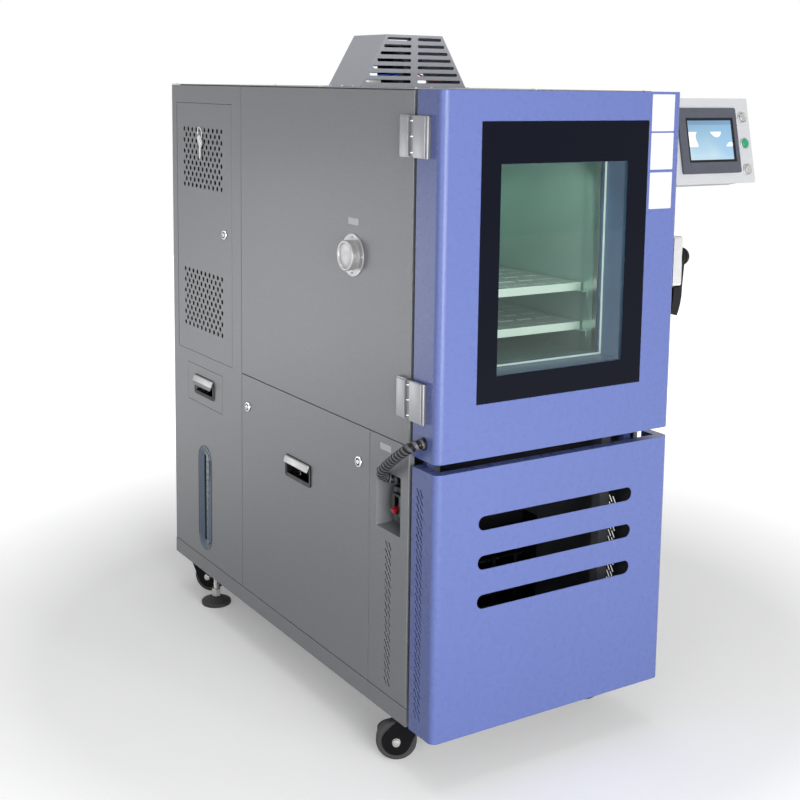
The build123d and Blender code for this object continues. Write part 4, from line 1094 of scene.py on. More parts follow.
@dataclass
class Casing:
    """Painted cabinet panels, roof and chassis, with their small fixings."""

    width: float = 704.0
    depth: float = 1380.0
    height: float = 1500.0

    def build(self) -> None:
        """Dresses the panels and adds labels and screws."""
        panels = ("left_upper_panel", "front_strip", "rear_left_panel", "right_side_panel", "rear_panel",
                  "top_cover", "mid_access_panel", "control_box")
        dress({name: Finishes.CASING for name in panels})
        dress({
            "base_frame": Finishes.CASING, "insulation": Finishes.FOAM, "front_frame": Finishes.STAINLESS,
            # Condenser, condenser fan and compressor in black enamel: black paint that also stands in for the shade of
            # the closed machine room seen through the slots (painted shade).
            "inner_liner": Finishes.LINER, "evaporator_coil": Finishes.FINS, "condenser": Finishes.BLACK_PAINT,
            "condenser_fan": Finishes.BLACK_PAINT, "compressor": Finishes.BLACK_PAINT,
            "electrical_plate": Finishes.ZINC, "water_tank": Finishes.BLACK, "fan_impeller": Finishes.STAINLESS,
            "lower_front_panel": Finishes.DOOR, "air_baffle": Finishes.LINER,
            "upper_shelf": Finishes.SHELF, "lower_shelf": Finishes.SHELF, "filler_drawer": Finishes.CASING,
        })
        self.labels()
        self.fixings()

    def labels(self) -> None:
        """Sticks the small plain labels on the left side."""
        for index, (y, z, width, height) in enumerate(((262.0, 1180.0, 48.0, 16.0), (101.5, 658.0, 49.0, 16.0))):
            form = Form()
            form.prism(left_face(y, z), rounded(width, height, 1.5), 0.05, 0.5)
            form.make(f"side_label_{index + 1}", Finishes.PAPER)

    def fixings(self) -> None:
        """Adds the screws of the roof, the back and the right side."""
        form = Form()
        for x in (14.0, 352.0, 690.0):
            for y in (14.0, 460.0, 920.0, 1366.0):
                if not (200 < x < 500 and 500 < y < 760):
                    screw(form, Vector((x, y, self.height)), Way.UP.vector)
        for x in (40.0, 352.0, 664.0):
            for z in (70.0, 560.0, 1030.0, 1480.0):
                screw(form, Vector((x, self.depth, z)), Way.BACK.vector)
        for y in (30.0, 460.0, 920.0, 1350.0):
            for z in (70.0, 1480.0):
                screw(form, Vector((self.width, y, z)), Way.RIGHT.vector)
        form.make("casing_screws", Finishes.ZINC)


@dataclass
class Door:
    """Blue door with its window, hinges and handle.

    Attributes:
        glass_x: span of the window's outer pane.
        glass_z: its span up the door.
        clear_x: span of the clear opening.
        clear_z: its span up the door.
        spacers_y: middle of each pane spacer.
        spacer: width of a pane spacer.
        labels_z: middle of each label.
        face_y: the door's front.
        hinge_x: the hinge line.
        hinge_y: the hinge line.
        hinge_heights: middle of each hinge.
        hinge_height: height of a hinge.
        rings: places of a hinge's rings, as shares of its height.
    """

    glass_x: Span = (106.5, 597.5)
    glass_z: Span = (794.0, 1431.0)
    clear_x: Span = (165.0, 539.0)
    clear_z: Span = (854.0, 1336.0)
    spacers_y: Point = (-33.5, -27.6, -17.5)
    spacer: float = 5.0
    labels_z: Point = (1449.0, 1357.0, 1262.0)
    face_y: float = -112.0
    hinge_x: float = -8.0
    hinge_y: float = -8.5
    hinge_heights: Span = (799.0, 1395.0)
    hinge_height: float = 94.0
    rings: Point = (0.12, 0.5, 0.87)

    def build(self) -> None:
        """Dresses the door and adds the window's border, hinges, handle and labels."""
        dress({
            "door_shell": Finishes.DOOR, "door_inner_panel": Finishes.STAINLESS, "door_gasket": Finishes.SILICONE,
            "window_surround": Finishes.REVEAL, "window_glass": Finishes.OUTER_PANE,
        })
        self.window()
        self.labels()
        for hinge in range(2):
            self.hinge(hinge)
        self.handle()

    def window(self) -> None:
        """Adds the black border behind the pane and the bright spacers of the inner panes."""
        middle_x, middle_z = sum(self.glass_x) / 2, sum(self.glass_z) / 2
        width, height = self.glass_x[1] - self.glass_x[0], self.glass_z[1] - self.glass_z[0]
        hole = rectangle((self.clear_x[0] - 4 - middle_x, self.clear_z[0] + 1 - middle_z),
                         (self.clear_x[1] - 4 - middle_x, self.clear_z[1] - middle_z))
        form = Form()
        form.plate(front_face(middle_x, middle_z, self.face_y), rounded(width - 0.6, height - 0.6, 1.0), [hole],
                   -0.6, 0.25)
        form.make("window_black_border", Finishes.FRIT, "door")
        form = Form()
        half_w = (self.clear_x[1] - self.clear_x[0]) / 2 - 1
        half_h = (self.clear_z[1] - self.clear_z[0]) / 2 - 1
        inner = rectangle((self.spacer - half_w, self.spacer - half_h), (half_w - self.spacer, half_h - self.spacer))
        for y in self.spacers_y:
            centre = front_face(sum(self.clear_x) / 2, sum(self.clear_z) / 2, y)
            form.plate(centre, rectangle((-half_w, -half_h), (half_w, half_h)), [inner], -0.8, 0.8)
        form.make("pane_spacers", Finishes.SPACER, "door")

    def labels(self) -> None:
        """Sticks three plain labels on the door's right margin."""
        form = Form()
        for z in self.labels_z:
            form.prism(front_face(641.5, z, self.face_y), rounded(72.0, 88.0, 2.0), 0.05, 0.45)
        form.make("door_labels", Finishes.PAPER, "door")

    def hinge(self, index: int) -> None:
        """Builds one hinge: two stepped plates, the knuckles and the door plate's base in dark metal that paints the
        shade of the groove and under the plate, and three bright rings.

        Args:
            index: 0 for the lower hinge and 1 for the upper one.
        """
        low = self.hinge_heights[index] - self.hinge_height / 2
        high = low + self.hinge_height
        place = ("lower", "upper")[index]
        form = Form.stepped(((-11.4, 0.0), (1.5, 39.0), (low, high), 0.8),
                            ((-14.9, -11.4), (1.5, 35.5), (low + 3.5, high - 3.5), 1.0))
        leaf = form.make(f"{place}_hinge_fixed_plate", Finishes.HINGE)
        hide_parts("fixed_hinge_leaves")
        form = Form.stepped(((-12.4, -8.4), (-74.0, -18.5), (low, high), 0.8),
                            ((-14.9, -12.4), (-66.5, -18.5), (low + 1.5, high - 1.5), 0.8))
        leaf = form.make(f"{place}_hinge_door_plate", Finishes.HINGE, "door")
        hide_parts("door_hinge_leaves")
        # Base under the door plate, a thin step line at the plate's edge and a groove filler, all in dark metal:
        # painted shade.
        form = Form()
        form.block((-8.4, 0.0), (-71.0, -18.5), (low + 2.0, high - 2.0))
        form.block((-12.9, -12.3), (-69.0, -66.4), (low + 2.0, high - 2.0))
        form.block((-10.0, -6.0), (-19.0, self.hinge_y), (low + 12.0, high - 12.0))
        form.make(f"{place}_hinge_door_base", Finishes.HINGE_SHADE, "door")
        # Knuckle barrel and groove filler in dark metal: painted shade of the groove between the plates.
        form = Form()
        form.rod((self.hinge_x, self.hinge_y, low + 0.6), Way.UP.vector, 5.4, self.hinge_height - 1.2, 24)
        form.block((-10.0, -6.0), (self.hinge_y, 1.6), (low + 2.0, high - 2.0))
        form.make(f"{place}_hinge_knuckles", Finishes.HINGE_SHADE)
        form = Form()
        for share in self.rings:
            ring = low + share * self.hinge_height
            form.rod((self.hinge_x, self.hinge_y, ring - 1.5), Way.UP.vector, 6.7, 3.0, 24)
        form.make(f"{place}_hinge_rings", Finishes.CHROME)

    def handle(self) -> None:
        """Dresses the handle: bright housing, black lever."""
        dress({"handle_body": Finishes.SATIN_CHROME, "door_lever": Finishes.BLACK})


@dataclass
class CablePort:
    """Round cable port with its flange, neck and plug."""

    y: float = 262.0
    z: float = 1098.0

    def build(self) -> None:
        """Builds the flange with its screws, the ribbed neck and the dished plug."""
        left = Way.LEFT.vector
        form = Form()
        profile = [(25.1, -150.0), (27.4, -150.0), (27.4, -0.5), (51.5, -0.5), (52.5, 0.4), (52.5, 2.2), (51.6, 3.0),
                   (37.5, 3.0)]
        for rib in range(4):
            start = 3.4 + rib * 3.1
            profile += [(36.2, start), (36.2, start + 2.0), (35.0, start + 2.5), (35.0, start + 3.0)]
        profile += [(35.0, 15.6), (34.2, 16.0), (25.1, 16.0), (25.1, -150.0)]
        form.lathe((0.0, self.y, self.z), left, profile, 64)
        for angle in range(0, 360, 90):
            turn = math.radians(angle)
            spot = Vector((-2.9, self.y + 44.5 * math.sin(turn), self.z + 44.5 * math.cos(turn)))
            screw(form, spot, left, 3.4, 1.8)
        sleeve = form.make("port_flange_and_neck", Finishes.SATIN_METAL)
        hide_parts("port_sleeve")
        form = Form()
        cap = [(0, -45.0), (24.4, -45.0), (24.8, -44.0), (24.8, 16.4), (36.6, 16.4), (37.5, 17.4), (37.5, 22.6),
               (36.0, 24.6), (34.0, 25.0), (31.5, 24.4), (30.0, 21.6), (26.0, 20.2), (14.0, 19.6), (6.0, 20.6),
               (0, 21.0)]
        form.lathe((0.0, self.y, self.z), left, cap, 64)
        plug = form.make("port_plug_cap", Finishes.SATIN_METAL, "port_plug")
        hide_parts("port_plug")


@dataclass
class RearDoor:
    """Access door of the electrical room: two pierced fields, a lock and hanging keys.

    Attributes:
        y: the leaf's span.
        z: its span upwards.
        lock: the lock's place.
        hole_radius: radius of a hole.
        fields: height of each pierced field's lowest row.
        first_hole: place of the first hole of a row.
        rows: rows of each field.
        columns: holes of a full row.
        across: from hole to hole.
        rise: from row to row.
        sheet: thickness of the leaf's sheet.
        flange: depth of the leaf's bent edges.
        keys_place: where the key ring hangs.
        key_blade: outline of a key's blade.
    """

    y: Span = (948.5, 1338.5)
    z: Span = (687.0, 1444.0)
    lock: Span = (996.0, 1070.0)
    hole_radius: float = 7.0
    across: float = 29.6
    rise: float = 16.7
    fields: Span = (770.0, 1199.0)
    first_hole: float = 1017.0
    rows: int = 11
    columns: int = 10
    sheet: float = 1.5
    flange: float = 14.0
    keys_place: Span = (1158.0, 1374.0)
    key_blade: tuple[Span, ...] = ((4.5, -17.0), (-4.5, -17.0), (-4.5, -26.0), (-2.6, -29.0), (-4.5, -33.0),
                                   (-3.0, -38.0), (-4.5, -43.0), (-3.6, -51.0), (0.0, -55.0), (4.5, -50.0))

    def build(self) -> None:
        """Builds the pierced leaf, its lock and the keys."""
        middle_y, middle_z = sum(self.y) / 2, sum(self.z) / 2
        holes = []
        for low in self.fields:
            for row in range(self.rows):
                for column in range(self.columns - row % 2):
                    y = self.first_hole + self.across * (column + 0.5 * (row % 2))
                    holes.append(circle(self.hole_radius, (middle_y - y, low + row * self.rise - middle_z), 14))
        holes.append(circle(8.4, (middle_y - self.lock[0], self.lock[1] - middle_z), 20))
        half_w, half_h = (self.y[1] - self.y[0]) / 2, (self.z[1] - self.z[0]) / 2
        edge = rectangle((-half_w, -half_h), (half_w, half_h))
        form = Form()
        form.plate(left_face(middle_y, middle_z), edge, holes, -self.sheet, 0.0)
        depth = (self.sheet, self.flange)
        for y in ((self.y[0], self.y[0] + self.sheet), (self.y[1] - self.sheet, self.y[1])):
            form.block(depth, y, self.z)
        for z in ((self.z[0], self.z[0] + self.sheet), (self.z[1] - self.sheet, self.z[1])):
            form.block(depth, (self.y[0] + self.sheet, self.y[1] - self.sheet), z)
        for z in (self.z[0] - 2.6, self.z[1] - 4.0):
            form.rod((6.0, 1333.0, z), Way.UP.vector, 2.45, 6.6, 12, 0.3)
        leaf = form.make("rear_access_leaf", Finishes.CASING, "access_door", 25.0)
        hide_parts("access_door")
        KeyLock("rear_door_lock", *self.lock, "access_door_lock").build()
        self.keys()

    def keys(self) -> None:
        """Hangs the spare keys on the upper pierced field."""
        form = Form()
        y, top = self.keys_place
        loop = []
        for step in range(37):
            angle = 2 * math.pi * step / 36
            loop.append(Vector((-5.0 - 2.5 * math.cos(angle), y + 13.0 * math.sin(angle),
                                top - 16 + 16 * math.cos(angle))))
        form.pipe(loop, 1.4, 10)
        for turn, drop, side in ((0.10, 28.0, 6.0), (-0.14, 40.0, -5.0)):
            head = Vector((-2.6 - drop * 0.02, y + side, top - drop))
            key_face = Face(tuple(head), (0.0, -math.cos(turn), math.sin(turn)), (0.0, math.sin(turn), math.cos(turn)))
            form.plate(key_face, circle(12.0, (0.0, -7.0), 24), [circle(3.2, (0.0, 0.5), 12)], 0.0, 2.4)
            form.prism(key_face, self.key_blade, 0.2, 2.2)
        form.make("spare_keys", Finishes.KEY_NICKEL, "access_door")


@dataclass
class KeyLock:
    """Round key lock with a rim, a barrel and a keyway."""

    name: str
    y: float
    z: float
    body: str
    way: int = -1

    def build(self) -> bpy.types.Object:
        """Builds the lock.

        Returns:
            The lock.
        """
        form = Form()
        left = Way.LEFT.vector
        rim = [(0, -19.0), (7.8, -19.0), (7.8, 0.3), (13.2, 0.3), (14.0, 1.0), (13.8, 2.8), (12.6, 4.4), (11.0, 4.9),
               (9.9, 4.4), (9.6, 2.2), (0, 2.2)]
        form.lathe((0.0, self.y, self.z), left, rim, 40)
        barrel = [(0, 1.8), (5.6, 1.8), (5.6, 4.6), (5.0, 5.2), (0, 5.2)]
        form.lathe((0.0, self.y, self.z), left, barrel, 28)
        reach = sorted((self.y, self.y + self.way * 29.5))
        form.block((17.2, 18.8), (reach[0] - 2, reach[1] + 2), (self.z - 6.5, self.z + 6.5))
        lock = form.make(self.name, Finishes.CHROME, self.body)
        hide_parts({"rear_door_lock": "access_door_lock"}.get(self.name, self.name))
        form = Form()
        ring = [(5.9, 2.25), (9.5, 2.25), (9.5, 3.1), (8.8, 3.5), (6.6, 3.5), (5.9, 3.1), (5.9, 2.25)]
        form.lathe((0.0, self.y, self.z), left, ring, 36)
        # Thin black plate on the barrel's face: the keyway, a black patch standing in for the slot's shade (painted
        # shade).
        form.block((-5.35, -5.1), (self.y - 0.8, self.y + 0.8), (self.z - 3.8, self.z + 3.8))
        form.make(self.name + "_dark_ring", Finishes.BLACK, self.body)
        return lock


@dataclass
class FlushPull:
    """Flush pull handle: black frame and cup with a bright plate that leans out."""

    name: str
    y: float
    z: float
    body: str
    cup: Finish = Finishes.ZINC
    width: float = 140.0
    height: float = 60.0
    scoop_radius: float = 17.0
    scoop_stations: int = 16
    scoop_steps: int = 8

    def build(self) -> tuple[bpy.types.Object, ...]:
        """Builds the pull.

        Returns:
            The frame with its cup, and the bright parts.
        """
        face = left_face(self.y, self.z)
        form = Form()
        top = self.height / 2
        window = [(a, b + 3.0) for a, b in rounded(self.width - 16, self.height - 14, 4.0)]
        form.plate(face, rounded(self.width, self.height, 7.0), [window], 0.0, 2.5)
        form.bevel(0.8, 50.0)
        cup = rounded(self.width - 12, self.height - 12, 6.0)
        form.plate(face, cup, [rounded(self.width - 18, self.height - 18, 5.0)], -23.5, 0.0)
        form.prism(face, cup, -24.0, -22.4)
        frame_piece = form.make(self.name + "_frame", Finishes.BLACK, self.body)
        form = Form()
        high, low = self.z + top - 1.2, self.z + 10.5
        half = self.width / 2 - 5
        section = [(-2.6, high), (-4.2, high - 0.2), (-7.0, high - 2.4), (-11.6, low + 2.0), (-11.8, low + 0.4),
                   (-10.6, low), (-9.4, low + 1.0), (-2.6, high - 5.0)]
        near = [form.mesh.verts.new((x, self.y - half, z)) for x, z in section]
        far = [form.mesh.verts.new((x, self.y + half, z)) for x, z in section]
        form.mesh.faces.new(near)
        form.mesh.faces.new(far[::-1])
        for i in range(len(section)):
            j = (i + 1) % len(section)
            form.mesh.faces.new((near[i], far[i], far[j], near[j]))
        form.bevel(0.5, 60.0)
        lip = form.make(self.name + "_plate", Finishes.SATIN_METAL, self.body)
        form = Form()
        rows = []
        for station in range(self.scoop_stations + 1):
            t = -0.98 + 1.96 * station / self.scoop_stations
            lift = 80.0 * math.sqrt(1 - t * t)
            row = []
            for step in range(self.scoop_steps + 1):
                angle = math.radians(-90 + lift * step / self.scoop_steps)
                row.append(form.mesh.verts.new((4.0 + self.scoop_radius * math.cos(angle), self.y + t * (half - 6),
                                                self.z - 3.2 + self.scoop_radius * math.sin(angle))))
            rows.append(row)
        for first, second in zip(rows, rows[1:]):
            for i in range(self.scoop_steps):
                form.mesh.faces.new((first[i], first[i + 1], second[i + 1], second[i]))
        bmesh.ops.solidify(form.mesh, geom=form.mesh.faces[:], thickness=0.6)
        scoop = form.make(self.name + "_scoop", self.cup, self.body)
        return frame_piece, lip, scoop


@dataclass
class WaterSide:
    """Water side: the filler drawer's pull, the level gauge and its scale."""

    gauge_y: float = 1148.5
    gauge_z: Span = (76.0, 406.0)
    gauge_width: float = 93.0
    ticks: int = 13
    first_tick: float = 125.0
    tick_step: float = 19.5

    def build(self) -> None:
        """Builds the drawer's pull and the gauge."""
        FlushPull("filler_pull", 1145.0, 589.5, "filler_drawer", Finishes.KEY_NICKEL).build()
        height = self.gauge_z[1] - self.gauge_z[0]
        middle = sum(self.gauge_z) / 2
        face = Face((0.0, self.gauge_y, middle), (0.0, 0.0, 1.0), (0.0, 1.0, 0.0))
        slot = [(a + 244.0 - middle, b - 5.0) for a, b in stadium(272.0, 15.0)]
        form = Form()
        form.plate(face, stadium(height, self.gauge_width, 16), [slot], 0.0, 1.4)
        form.bevel(0.5, 50.0)
        form.plate(face, stadium(height - 17, self.gauge_width - 17, 16), [slot], -3.0, 0.0)
        plate = form.make("level_gauge_plate", Finishes.BLUE)
        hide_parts("level_gauge")
        form = Form()
        inset = stadium(height - 22, self.gauge_width - 22, 16)
        form.plate(face, inset, [stadium(height - 27, self.gauge_width - 27, 16)], 1.4, 1.9)
        form.make("level_gauge_border", Finishes.GAUGE_RIM)
        form = Form()
        back = Face((10.0, self.gauge_y, middle), face.right, face.up)
        form.prism(back, stadium(290.0, 20.0), -1.0, 1.0)
        form.make("level_gauge_back", Finishes.GAUGE_DARK)
        form = Form()
        form.rod((14.0, self.gauge_y - 5, 100.0), Way.UP.vector, 6.0, 290.0, 20)
        form.make("level_sight_tube", Finishes.SIGHT)
        form = Form()
        for z in (88.0, 376.0):
            form.rod((14.0, self.gauge_y - 5, z), Way.UP.vector, 9.0, 20.0, 20)
            form.rod((14.0, self.gauge_y - 5, z + 10), Way.RIGHT.vector, 7.0, 28.0, 20)
        form.make("level_gauge_fittings", Finishes.ZINC)
        form = Form()
        for tick in range(self.ticks):
            z = self.first_tick + tick * self.tick_step
            length = 11.0 if tick % 3 == 0 else 6.5
            form.block((-1.9, -1.45), (self.gauge_y - 14.5 - length, self.gauge_y - 14.5), (z - 0.6, z + 0.6))
        form.make("level_gauge_scale", Finishes.INK)


@dataclass
class Breaker:
    """Main breaker in the recess, with its red toggle and cable entry.

    Attributes:
        pivot: the toggle's axis, as x and z.
        back: the recess's back wall, as x.
        toggle: reach, half thickness and half width of each section of the toggle.
        droop: the toggle's angle below level, in degrees.
    """

    pivot: Span = (36.0, 521.0)
    back: float = 56.5
    toggle: tuple[Point, ...] = ((4.0, 3.6, 4.6), (20.0, 3.8, 4.8), (25.0, 5.6, 6.6), (33.0, 5.8, 6.8),
                                 (34.2, 4.6, 5.6))
    droop: float = 22.0

    def build(self) -> None:
        """Dresses the breaker, and builds the toggle, labels and cable gland."""
        dress({"breaker_body": Finishes.BLACK})
        form = Form()
        form.block((23.5, 24.1), (52.0, 66.0), (480.0, 558.0))
        form.block((23.5, 24.1), (86.0, 100.0), (480.0, 558.0))
        form.block((15.4, 16.1), (57.0, 66.0), (496.0, 546.0))
        form.block((self.back - 0.7, self.back - 0.1), (36.0, 140.0), (459.0, 598.0))
        form.make("breaker_face", Finishes.SOCKET)
        form = Form()
        form.block((22.9, 23.6), (88.0, 98.0), (530.0, 545.0))
        form.block((22.9, 23.6), (54.0, 64.0), (550.0, 556.0))
        form.make("breaker_label", Finishes.PAPER)
        form = Form()
        x, z = self.pivot
        form.rod((x, 68.5, z), Way.BACK.vector, 7.6, 15.0, 24)
        tilt = math.radians(self.droop)
        way = Vector((-math.cos(tilt), 0.0, -math.sin(tilt)))
        over = Vector((-math.sin(tilt), 0.0, math.cos(tilt)))
        rings = []
        for reach, half, width in self.toggle:
            centre = Vector((x, 76.0, z)) + way * reach
            rings.append([form.mesh.verts.new(centre + over * a * half + Vector((0.0, b * width, 0.0)))
                          for a, b in ((1, 1), (1, -1), (-1, -1), (-1, 1))])
        form.skin(rings)
        form.mesh.faces.new(rings[0])
        form.mesh.faces.new(rings[-1][::-1])
        form.bevel(0.8, 40.0)
        toggle = form.make("breaker_toggle", Finishes.RED, "breaker_lever")
        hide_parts("breaker_lever")
        form = Form()
        form.lathe((54.0, 78.0, 581.0), Way.LEFT.vector, [(0, 0), (17.0, 0), (17.0, 6.0), (14.0, 9.0), (13.0, 14.0),
                                                         (11.0, 15.0), (0, 15.0)], 6)
        form.make("cable_gland_inner", Finishes.BLACK)
        form = Form()
        form.lathe((0.0, -60.0, 706.0), Way.LEFT.vector, [(0, 0), (15.5, 0), (15.5, 2.0), (14.2, 3.2), (0, 3.2)], 28)
        form.make("cable_gland_door", Finishes.BLACK, "door")


@dataclass
class RoofHood:
    """Roof hood with the fan motor and its wiring inside."""

    motor: Span = (352.0, 630.0)
    roof: float = 1500.0
    wire_radius: float = 2.2

    def build(self) -> None:
        """Dresses the hood and builds the motor's box, wires and screws."""
        dress({"vent_hood": Finishes.HOOD, "fan_motor": Finishes.BLACK_PAINT})
        form = Form()
        for x in (176.5, 527.5):
            for y in (570.0, 630.0, 690.0):
                screw(form, Vector((x, y, self.roof + 1.5)), Way.UP.vector, 3.4, 2.0)
        form.make("hood_screws", Finishes.ZINC)
        form = Form()
        x, y = self.motor
        form.block((x - 30, x + 30), (y - 78, y - 48), (self.roof + 40, self.roof + 84))
        form.bevel(2.0)
        form.make("motor_terminal_box", Finishes.BLACK)
        steps = [i / 16 for i in range(17)]
        form = Form()
        for lift, reach, bend in ((18.0, -100.0, 6.0), (28.0, -118.0, -8.0)):
            form.pipe([Vector((x + reach * t, y - 62 + bend * math.sin(3 * t),
                               self.roof + 50 - lift * math.sin(1.6 * t))) for t in steps], self.wire_radius, 8)
        form.make("motor_wires_blue", Finishes.WIRE_BLUE)
        form = Form()
        form.pipe([Vector((x + 100 * t, y - 60 - 10 * math.sin(4 * t), self.roof + 46 - 30 * math.sin(1.5 * t)))
                   for t in steps], self.wire_radius, 8)
        form.make("motor_wires_red", Finishes.WIRE_RED)
        form = Form()
        form.block((x - 150, x - 96), (y - 70, y - 40), (self.roof + 0.5, self.roof + 26))
        form.bevel(1.5)
        form.make("capacitor_box", Finishes.ZINC)


@dataclass
class ControlHead:
    """Leaning control head: plate, screen and three buttons."""

    tilt: float = 12.1
    origin: Point = (0.0, -60.0, 1267.0)
    plate_x: Span = (746.0, 1026.0)
    plate_height: float = 221.0
    bezel_x: Span = (770.0, 974.0)
    bezel_s: Span = (27.0, 195.0)
    screen_x: Span = (801.0, 955.0)
    screen_s: Span = (62.0, 163.0)
    button_x: float = 1001.0
    buttons: Point = (35.0, 103.0, 171.0)
    button_radius: float = 11.35

    def face(self) -> Face:
        """The leaning face of the plate's front."""
        lean = math.radians(self.tilt)
        return Face(self.origin, (1.0, 0.0, 0.0), (0.0, math.sin(lean), math.cos(lean)))

    def build(self) -> None:
        """Builds the plate, the screen unit and the buttons."""
        face = self.face()
        self.plate(face)
        self.screen(face)
        nodes = ("button_bottom", "button_middle", "button_top")
        caps = (Finishes.SATIN_METAL, Finishes.GREEN, Finishes.SATIN_METAL)
        for height, node, cap in zip(self.buttons, nodes, caps):
            self.button(face, height, node, cap)

    def plate(self, face: Face) -> None:
        """Builds the bright plate with its cut-out and button rings.

        Args:
            face: the plate's front.
        """
        middle_x, half_s = sum(self.plate_x) / 2, self.plate_height / 2
        outline = [(x + middle_x, s + half_s) for x, s in
                   rounded(self.plate_x[1] - self.plate_x[0], self.plate_height, 3.0)]
        window = rectangle((self.bezel_x[0] + 5, self.bezel_s[0] + 5), (self.bezel_x[1] - 5, self.bezel_s[1] - 5))
        holes = [window] + [circle(self.button_radius, (self.button_x, s), 28) for s in self.buttons]
        form = Form()
        form.plate(face, outline, holes, -2.0, 0.0)
        piece = form.make("control_face_plate", Finishes.PLATE)
        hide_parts("control_plate")
        form = Form()
        inside = self.button_radius
        ring = [(inside, -2.0), (inside, 2.2), (12.4, 3.6), (14.2, 3.6), (15.0, 2.8), (15.0, 0.0), (inside, -2.0)]
        for s in self.buttons:
            start = face.at(self.button_x, s)
            form.lathe(start, face.normal, ring, 36)
        form.make("button_rings", Finishes.SATIN_METAL)

    def screen(self, face: Face) -> None:
        """Builds the screen's bezel, inner border and lit page.

        Args:
            face: the plate's front.
        """
        middle = (sum(self.bezel_x) / 2, sum(self.bezel_s) / 2)
        width, height = self.bezel_x[1] - self.bezel_x[0], self.bezel_s[1] - self.bezel_s[0]
        centre = tuple(face.at(*middle))
        own = Face(centre, face.right, face.up)
        shift = (sum(self.screen_x) / 2 - middle[0], sum(self.screen_s) / 2 - middle[1])
        page = (self.screen_x[1] - self.screen_x[0], self.screen_s[1] - self.screen_s[0])
        opening = [(a + shift[0], b + shift[1]) for a, b in rounded(page[0] + 13, page[1] + 13, 2.0)]
        form = Form()
        form.plate(own, rounded(width, height, 5.0), [opening], 0.0, 6.4)
        form.bevel(1.5, 50.0, 3)
        form.plate(own, rounded(width - 14, height - 14, 3.0), [opening], -33.0, 0.1)
        bezel = form.make("screen_bezel", Finishes.BEZEL)
        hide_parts("hmi_bezel")
        form = Form()
        inner = [(a + shift[0], b + shift[1]) for a, b in rounded(*page, 1.0)]
        form.plate(own, opening, [inner], 3.4, 4.6)
        form.make("screen_inner_border", Finishes.BLACK)
        form = Form()
        form.prism(own, inner, 2.4, 3.6)
        low, high = (tuple(DRAWING.place(own.at(shift[0] + side * page[0] / 2, shift[1] + side * page[1] / 2)))
                     for side in (-1, 1))
        form.make("screen_page", LitScreen("lit_screen_page", (0.3, 0.5, 0.7), low, high))

    def button(self, face: Face, height: float, node: str, finish: Finish) -> None:
        """Builds one push button.

        Args:
            face: the plate's front.
            height: its place up the plate.
            node: the CAD node and body that it stands for.
            finish: what its cap is made of.
        """
        form = Form()
        profile = [(0, -13.0), (10.9, -13.0), (10.9, 4.6), (10.2, 5.8), (8.8, 6.4), (8.2, 5.7), (0, 5.5)]
        form.lathe(face.at(self.button_x, height), face.normal, profile, 36)
        cap = form.make(node + "_cap", finish, node)
        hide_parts(node)


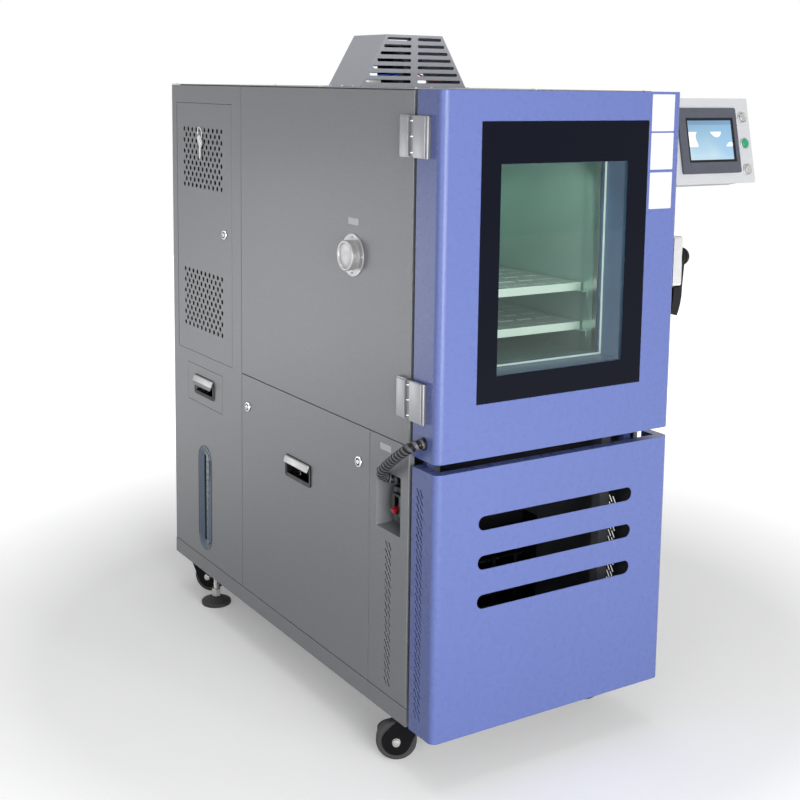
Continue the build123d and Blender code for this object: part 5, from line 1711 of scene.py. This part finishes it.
@dataclass
class RunningGear:
    """Casters and levelling feet.

    Attributes:
        radius: radius of a wheel.
        width: width of a wheel.
        trail: from the swivel to the wheel's axle.
        clearance: gap between a wheel and the floor.
        nut_reach: from the wheel's middle to an axle nut.
        thread_start: lowest thread of a foot's stud, over the floor.
        thread_pitch: from thread to thread.
        floor: the floor's height in the drawing.
        places: each caster's swivel and the angle that its wheel trails at.
        feet: place of each levelling foot.
    """

    radius: float = 50.0
    width: float = 30.0
    trail: float = 38.0
    clearance: float = 0.4
    nut_reach: float = 21.5
    thread_start: float = 48.0
    thread_pitch: float = 2.0
    floor: float = DRAWING.floor_z
    places: dict[str, tuple[float, float, float]] = field(default_factory=lambda: {
        "front_left": (58.0, 58.0, 147.0), "front_right": (646.0, 58.0, 125.0),
        "rear_left": (58.0, 1322.0, -53.0), "rear_right": (646.0, 1322.0, -120.0),
    })
    feet: tuple[Span, ...] = ((96.0, 194.0), (608.0, 194.0), (50.0, 1182.0), (654.0, 1182.0))

    def build(self) -> None:
        """Builds the four casters and the four feet."""
        for name, (x, y, angle) in self.places.items():
            dress({"caster_fork_" + name: Finishes.BLACK_PAINT})
            self.wheel(name, x, y, math.radians(angle))
        self.levelling_feet()

    def wheel(self, name: str, x: float, y: float, angle: float) -> None:
        """Builds one wheel and the bright nuts of its axle.

        Args:
            name: the caster's place.
            x: the swivel's place.
            y: the swivel's place.
            angle: the way that the wheel trails.
        """
        axle = Vector((-math.sin(angle), math.cos(angle), 0.0))
        hub = Vector((x + self.trail * math.cos(angle), y + self.trail * math.sin(angle),
                      self.floor + self.radius + self.clearance))
        half = self.width / 2
        profile = [(4.1, -half + 1), (11.5, -half), (12.5, -half + 1.0), (14.0, -half + 5.0), (27.0, -half + 5.5),
                   (31.0, -half + 4.0), (34.0, -half + 0.8), (41.0, -half)]
        for step in range(7):
            turn = math.radians(-90 + 90 * step / 6)
            profile.append((43.0 + 7.0 * math.cos(turn), -half + 7.0 + 7.0 * math.sin(turn)))
        profile += [(50.0, -5.0), (49.2, -4.4), (49.2, -3.6), (50.0, -3.0)]
        profile += [(radius, -height) for radius, height in reversed(profile)]
        form = Form()
        form.lathe(hub, axle, profile + [profile[0]], 56)
        wheel = form.make("caster_tyre_" + name, Finishes.RUBBER, "caster_wheel_" + name)
        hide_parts("caster_wheel_" + name)
        form = Form()
        nut = [(0, 0), (10.2, 0), (10.2, 0.8), (9.3, 1.0), (9.3, 6.4), (8.4, 7.4), (5.0, 8.0), (0, 8.1)]
        for way in (-1, 1):
            form.lathe(hub + axle * way * self.nut_reach, axle * way, nut, 24)
        form.make("caster_nuts_" + name, Finishes.ZINC, "caster_fork_" + name)
        form = Form()
        form.lathe((x, y, -4.3), Way.DOWN.vector, [(30.0, 0), (33.0, 0), (34.2, 1.2), (34.2, 3.4), (32.6, 4.6),
                                                   (32.6, 6.2), (34.2, 7.4), (33.4, 10.2), (31.3, 11.2)], 40)
        form.make("caster_race_" + name, Finishes.BLACK_PAINT, "caster_fork_" + name)

    def levelling_feet(self) -> None:
        """Builds the pads, nuts and threaded studs."""
        pads, metal = Form(), Form()
        for x, y in self.feet:
            pads.lathe((x, y, self.floor), Way.UP.vector, [(0, 0), (43.0, 0), (45.0, 1.5), (46.0, 5.0), (46.0, 10.0),
                                                         (44.0, 12.5), (37.0, 15.0), (26.0, 20.0), (20.0, 24.0),
                                                         (17.0, 25.5), (0, 26.0)], 48)
            metal.lathe((x, y, self.floor + 25.6), Way.UP.vector, [(0, 0), (13.4, 0), (14.6, 1.2), (14.6, 23.0),
                                                                  (13.4, 24.2), (0, 24.2)], 6)
            thread = [(0, self.thread_start)]
            for turn in range(int((-self.floor - self.thread_start - self.thread_pitch) / self.thread_pitch)):
                root = self.thread_start + 0.5 + turn * self.thread_pitch
                thread += [(7.2, root), (8.0, root + 1.0)]
            thread.append((0, -self.floor - 1.0))
            metal.lathe((x, y, self.floor), Way.UP.vector, thread, 20)
            metal.lathe((x, y, -14.0), Way.UP.vector, [(0, 0), (12.4, 0), (13.5, 1.0), (13.5, 10.0), (0, 10.0)], 6)
        rubber = pads.make("levelling_pads", Finishes.RUBBER)
        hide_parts("levelling_feet")
        metal.make("levelling_studs", Finishes.ZINC)


def main() -> None:
    """Builds every part of the scene."""
    logging.basicConfig(level=logging.INFO, format="%(name)s: %(message)s")
    Studio().build()
    SpiralCable().build()
    KeyLock("mid_panel_lock_front", 225.0, 592.0, "mid_panel_lock_front", -1).build()
    KeyLock("mid_panel_lock_rear", 845.0, 594.0, "mid_panel_lock_rear", 1).build()
    pull = FlushPull("mid_panel_handle", 540.0, 487.0, "mid_panel").build()
    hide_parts("mid_panel_handle")
    for assembly in (Casing(), Door(), CablePort(), RearDoor(), WaterSide(), Breaker(), RoofHood(), ControlHead(),
                     RunningGear()):
        assembly.build()
        LOG.info("built %s", type(assembly).__name__)


if __name__ == "__main__":
    main()
